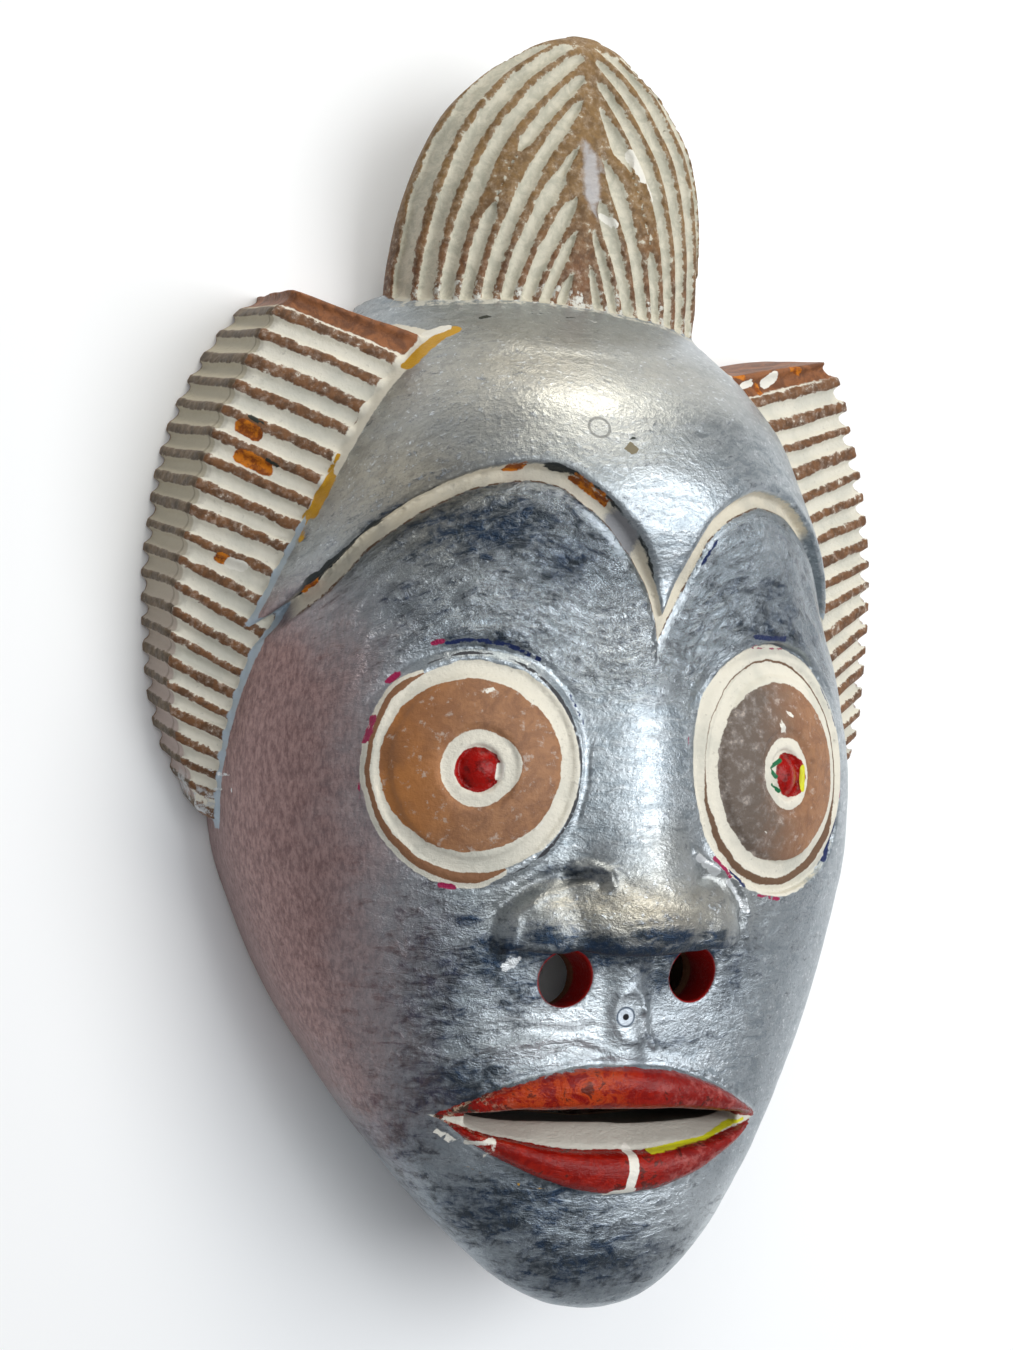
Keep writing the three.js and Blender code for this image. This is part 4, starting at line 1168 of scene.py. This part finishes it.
    # Cream ledge, with painted shade deep in the slit between the lips
    mouth = tone(stored("deep_mouth"), -0.2, 0.5, (0.62, 0.6, 0.52), (0.05, 0.052, 0.04))
    paint(step(ragged("inner_mouth", 0.5), 0, 0.2), mouth, 0, 0.5)
    red = tone(mottle, 0.4, 0.6, (0.2, 0.005, 0.003), (0.32, 0.011, 0.004))
    orange = both(step(up, -92, -89), both(step(across, -36, -26), fall(across, -8, 4)))
    red = blend(both(orange, step(mottle, 0.42, 0.56)), red, (0.42, 0.045, 0.007))
    crimson = step(across, 2, 16)
    red = blend(scaled(crimson, 0.55), red, tone(chips, 0.47, 0.64, (0.14, 0.01, 0.01), (0.34, 0.1, 0.09)))
    corner = both(fall(across, -39, -27), step(chips, 0.48, 0.58))
    red = blend(corner, red, tone(mottle, 0.45, 0.55, (0.05, 0.03, 0.02), (0.5, 0.34, 0.24)))
    red = blend(both(step(mottle, 0.57, 0.64), 0.8), red, (0.05, 0.01, 0.008))
    paint(step(ragged("lips", 1.2), 0, 0.2), red, 0, mix(step(chips, 0.4, 0.6), 0.11, 0.2))

    # Crest: brown ribs with cream grooves
    high = stored("crest_high")
    ochre_rib = tone(mottle, 0.38, 0.62, (0.24, 0.142, 0.055), (0.15, 0.086, 0.034))
    crest_rib = tone(plus(high, scaled(jag, 0.2)), 0.16, 0.5, rib, ochre_rib)
    crest_rib = blend(both(step(chips, 0.58, 0.72), 0.4), crest_rib, (0.55, 0.46, 0.37))
    on_crest = step(ragged("crest", 1), -0.3, 0.1)
    paint(on_crest, crest_rib, 0, 0.5)
    groove = ragged("groove", 1.5)
    haze = both(step(groove, -0.1, 0.25), 0.4)
    paint(both(on_crest, haze), (0.44, 0.34, 0.24), 0, 0.6)
    crest_cream = tone(mottle, 0.4, 0.62, (0.61, 0.57, 0.46), (0.47, 0.45, 0.36))
    paint(both(on_crest, step(groove, 0.18, 0.32)), crest_cream, 0, 0.62)
    foot = both(step(ragged("crest_line", 1.4), 0, 0.4), step(chips, 0.46, 0.56))
    paint(foot, (0.55, 0.54, 0.48), 0.2, 0.45)

    # Side locks: brown ridges with cream flutes
    lock = step(ragged("lock", 0.8), 0.1, 0.4)
    flank = step(stored("flank"), 0, 0.6)
    # On the flank the ribs are darker and the flutes greyer: partly the flank's own paint, partly painted
    # shade of the side facet
    shaded_flank_rib = tone(mottle, 0.4, 0.6, (0.14, 0.095, 0.052), (0.075, 0.055, 0.034))
    paint(lock, blend(flank, rib, shaded_flank_rib), 0, 0.55)
    groove = plus(stored("flute"), both(jag, mix(flank, 1.3, 0.6)))
    groove = plus(groove, scaled(flank, 0.04))
    groove = both(groove, step(ragged("lock_along", 1.6), 1, 2.2))
    haze = both(step(groove, -0.05, 0.25), 0.35)
    paint(both(lock, haze), (0.46, 0.37, 0.3), 0, 0.6)
    # Greyer cream on the flank, partly painted shade
    flute_cream = blend(flank, cream, tone(up, 0, 70, (0.47, 0.38, 0.34), (0.5, 0.45, 0.34)))
    paint(both(lock, step(groove, 0.16, 0.3)), flute_cream, 0, 0.62)
    border = both(lock, step(ragged("lock_top", 1.6), 0, 0.4))
    paint(border, tone(mottle, 0.4, 0.6, (0.27, 0.105, 0.042), (0.15, 0.06, 0.028)), 0, 0.5)
    # Painted shade in the groove just behind the ridge
    behind = minus(0.55, apart(stored("flank"), 2.2))
    paint(both(lock, both(step(behind, 0, 0.3), 0.35)), (0.1, 0.07, 0.05), 0, 0.6)
    tip = both(lock, both(step(ragged("lock_low", 6), 3, 9), step(chips, 0.47, 0.58)))
    paint(tip, (0.55, 0.56, 0.56), 0.6, 0.4)
    lock_line = step(ragged("lock_line", 1.3), 0, 0.35)
    line_color = blend(stored("line_cream"), (0.42, 0.49, 0.55), (0.7, 0.66, 0.56))
    paint(lock_line, line_color, mix(stored("line_cream"), 0.5, 0), 0.5)

    # Single marks
    def mark(name, new_color, new_metal=0, new_rough=0.4, by=0.9):
        paint(step(ragged(name, by), -0.05, 0.2), new_color, new_metal, new_rough)

    def stroke(name, new_color, new_metal=0, new_rough=0.4, by=0.7):
        inside = -9
        for wide, *line in STROKES[name]:
            inside = calc("MAXIMUM", inside, minus(wide, away(line)))
        paint(step(plus(inside, scaled(jag, by)), -0.08, 0.12), new_color, new_metal, new_rough)

    mark("worn", (0.2, 0.17, 0.11), 0, 0.6)
    ring_mark = apart(away([(-15.1, 78.3)]), 2.5)
    paint(both(fall(ring_mark, 0.15, 0.5), 0.7), (0.16, 0.16, 0.15), 0.4, 0.5)
    mark("ochre", tone(patch, 0.4, 0.6, (0.52, 0.28, 0.02), (0.4, 0.2, 0.015)), 0, 0.35)
    mark("orange", tone(chips, 0.42, 0.58, (0.55, 0.17, 0.01), (0.22, 0.055, 0.008)), 0, 0.5, 1.6)
    mark("navy", (0.018, 0.03, 0.1), 0.2, 0.35, 1.2)
    mark("magenta", (0.3, 0.015, 0.07), 0, 0.35, 1.1)
    mark("white", (0.76, 0.73, 0.65), 0, 0.55, 1.2)
    # White lines, and a painted highlight on the left eye's bead
    stroke("white", (0.76, 0.73, 0.65), 0, 0.5, 0.9)
    stroke("yellow", (0.62, 0.6, 0.02), 0, 0.3, 0.5)
    stroke("green", (0.01, 0.13, 0.05), 0, 0.3, 0.5)
    mark("dark", (0.022, 0.026, 0.02), 0, 0.5, 1.2)
    # Painted highlights
    mark("painted_glint", (0.72, 0.74, 0.75), 0.6, 0.36, 2.2)
    paint(scaled(step(ragged("scrape", 2.4), -0.8, 1.2), 0.75), (0.4, 0.4, 0.41), 0.4, 0.42)
    pit = away([NAIL])
    paint(fall(pit, 2.3, 2.7), (0.1, 0.13, 0.17), 0.3, 0.4)
    paint(fall(pit, 1.8, 2.2), (0.62, 0.68, 0.74), 0.3, 0.4)
    paint(fall(pit, 0.65, 0.9), (0.006, 0.006, 0.008), 0, 0.6)

    # Bare wood at the back
    grain = texture(stretched(where, (1, 0.12, 1)), 180, 4, 0.6)
    wood = blend(grain, (0.16, 0.085, 0.045), (0.3, 0.18, 0.1))
    paint(step(stored("bare"), -0.3, 0.3), wood, 0, 0.7)

    # Brush marks and grain as bumps
    height = plus(both(crinkle, scaled(rough_zone, 2.2, 0.3)), scaled(fine, 0.36))
    height = plus(height, both(mottle, scaled(rough_zone, 0.9, 0.15)))
    height = plus(height, scaled(grit, 0.08))
    bump = node("Bump", {"Strength": BUMP, "Distance": 0.001, "Height": height})
    inputs = {"Base Color": color, "Metallic": metal, "Roughness": rough, "Normal": bump.outputs[0]}
    shader = node("BsdfPrincipled", {**inputs, "Specular IOR Level": GLOSS})
    node("OutputMaterial", {"Surface": shader.outputs[0]})
    return material


mesh.materials.clear()
mesh.materials.append(painted_wood())
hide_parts("mask")
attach(mask, "root")

# Floor, lights and camera, in metres
scene = bpy.context.scene
FLOOR_HALF = 3
PAPER, PAPER_ROUGH = 0.93, 0.9
floor_mesh = bpy.data.meshes.new("floor")
corners = [(FLOOR_HALF * a, FLOOR_HALF * b, 0) for a, b in ((-1, -1), (1, -1), (1, 1), (-1, 1))]
floor_mesh.from_pydata(corners, [], [(0, 1, 2, 3)])
floor = bpy.data.objects.new("floor", floor_mesh)
floor.location.z = cad_low.z
scene.collection.objects.link(floor)
paper = bpy.data.materials.new("paper")
paper.use_nodes = True
paper_inputs = paper.node_tree.nodes["Principled BSDF"].inputs
paper_inputs["Base Color"].default_value = (PAPER, PAPER, PAPER, 1)
paper_inputs["Roughness"].default_value = PAPER_ROUGH
floor_mesh.materials.append(paper)

# Each lamp's name, place, aim, size, power and tint
LAMPS = [
    ("key", (0.55, 0.05, 1.08), (0, 0, 0.05), 0.85, 10.5, (0.96, 0.98, 1)),
    ("overhead", (-0.1, 0.15, 1.35), (0, 0, 0.05), 0.8, 4.2, (0.93, 0.98, 1)),
    ("top", (0.12, 1.12, 0.48), (0, 0.05, 0.05), 0.6, 6.4, (1, 0.94, 0.82)),
]
for name, place, aim, size, power, tint in LAMPS:
    light = bpy.data.lights.new(name, "AREA")
    light.shape, light.size, light.energy, light.color = "SQUARE", size, power, tint
    lamp = bpy.data.objects.new(name, light)
    lamp.location = place
    lamp.rotation_mode = "QUATERNION"
    lamp.rotation_quaternion = (Vector(aim) - Vector(place)).to_track_quat("-Z", "Y")
    scene.collection.objects.link(lamp)

SKY, SKY_POWER = (0.93, 0.95, 1), 0.27
world = bpy.data.worlds.new("world")
scene.world = world
world.use_nodes = True
sky = world.node_tree.nodes["Background"].inputs
sky["Color"].default_value = (*SKY, 1)
sky["Strength"].default_value = SKY_POWER

# The camera looks from the viewer's left and a little above, as in the photograph
CAMERA_PLACE = (-0.1754, -0.0139 + SHIFT_Y / 1000, 0.4253)
CAMERA_TILT, CAMERA_TURN, CAMERA_ROLL = 4.753, -22.044, 0.643
camera_data = bpy.data.cameras.new("camera")
camera_data.sensor_width, camera_data.lens = 36, 42.67
camera_data.clip_start, camera_data.clip_end = 0.01, 50
camera = bpy.data.objects.new("camera", camera_data)
angles = [math.radians(v) for v in (CAMERA_TILT, CAMERA_TURN, CAMERA_ROLL)]
camera.matrix_world = Matrix.LocRotScale(CAMERA_PLACE, Euler(angles), None)
scene.collection.objects.link(camera)
scene.camera = camera
scene.view_settings.view_transform = "Standard"
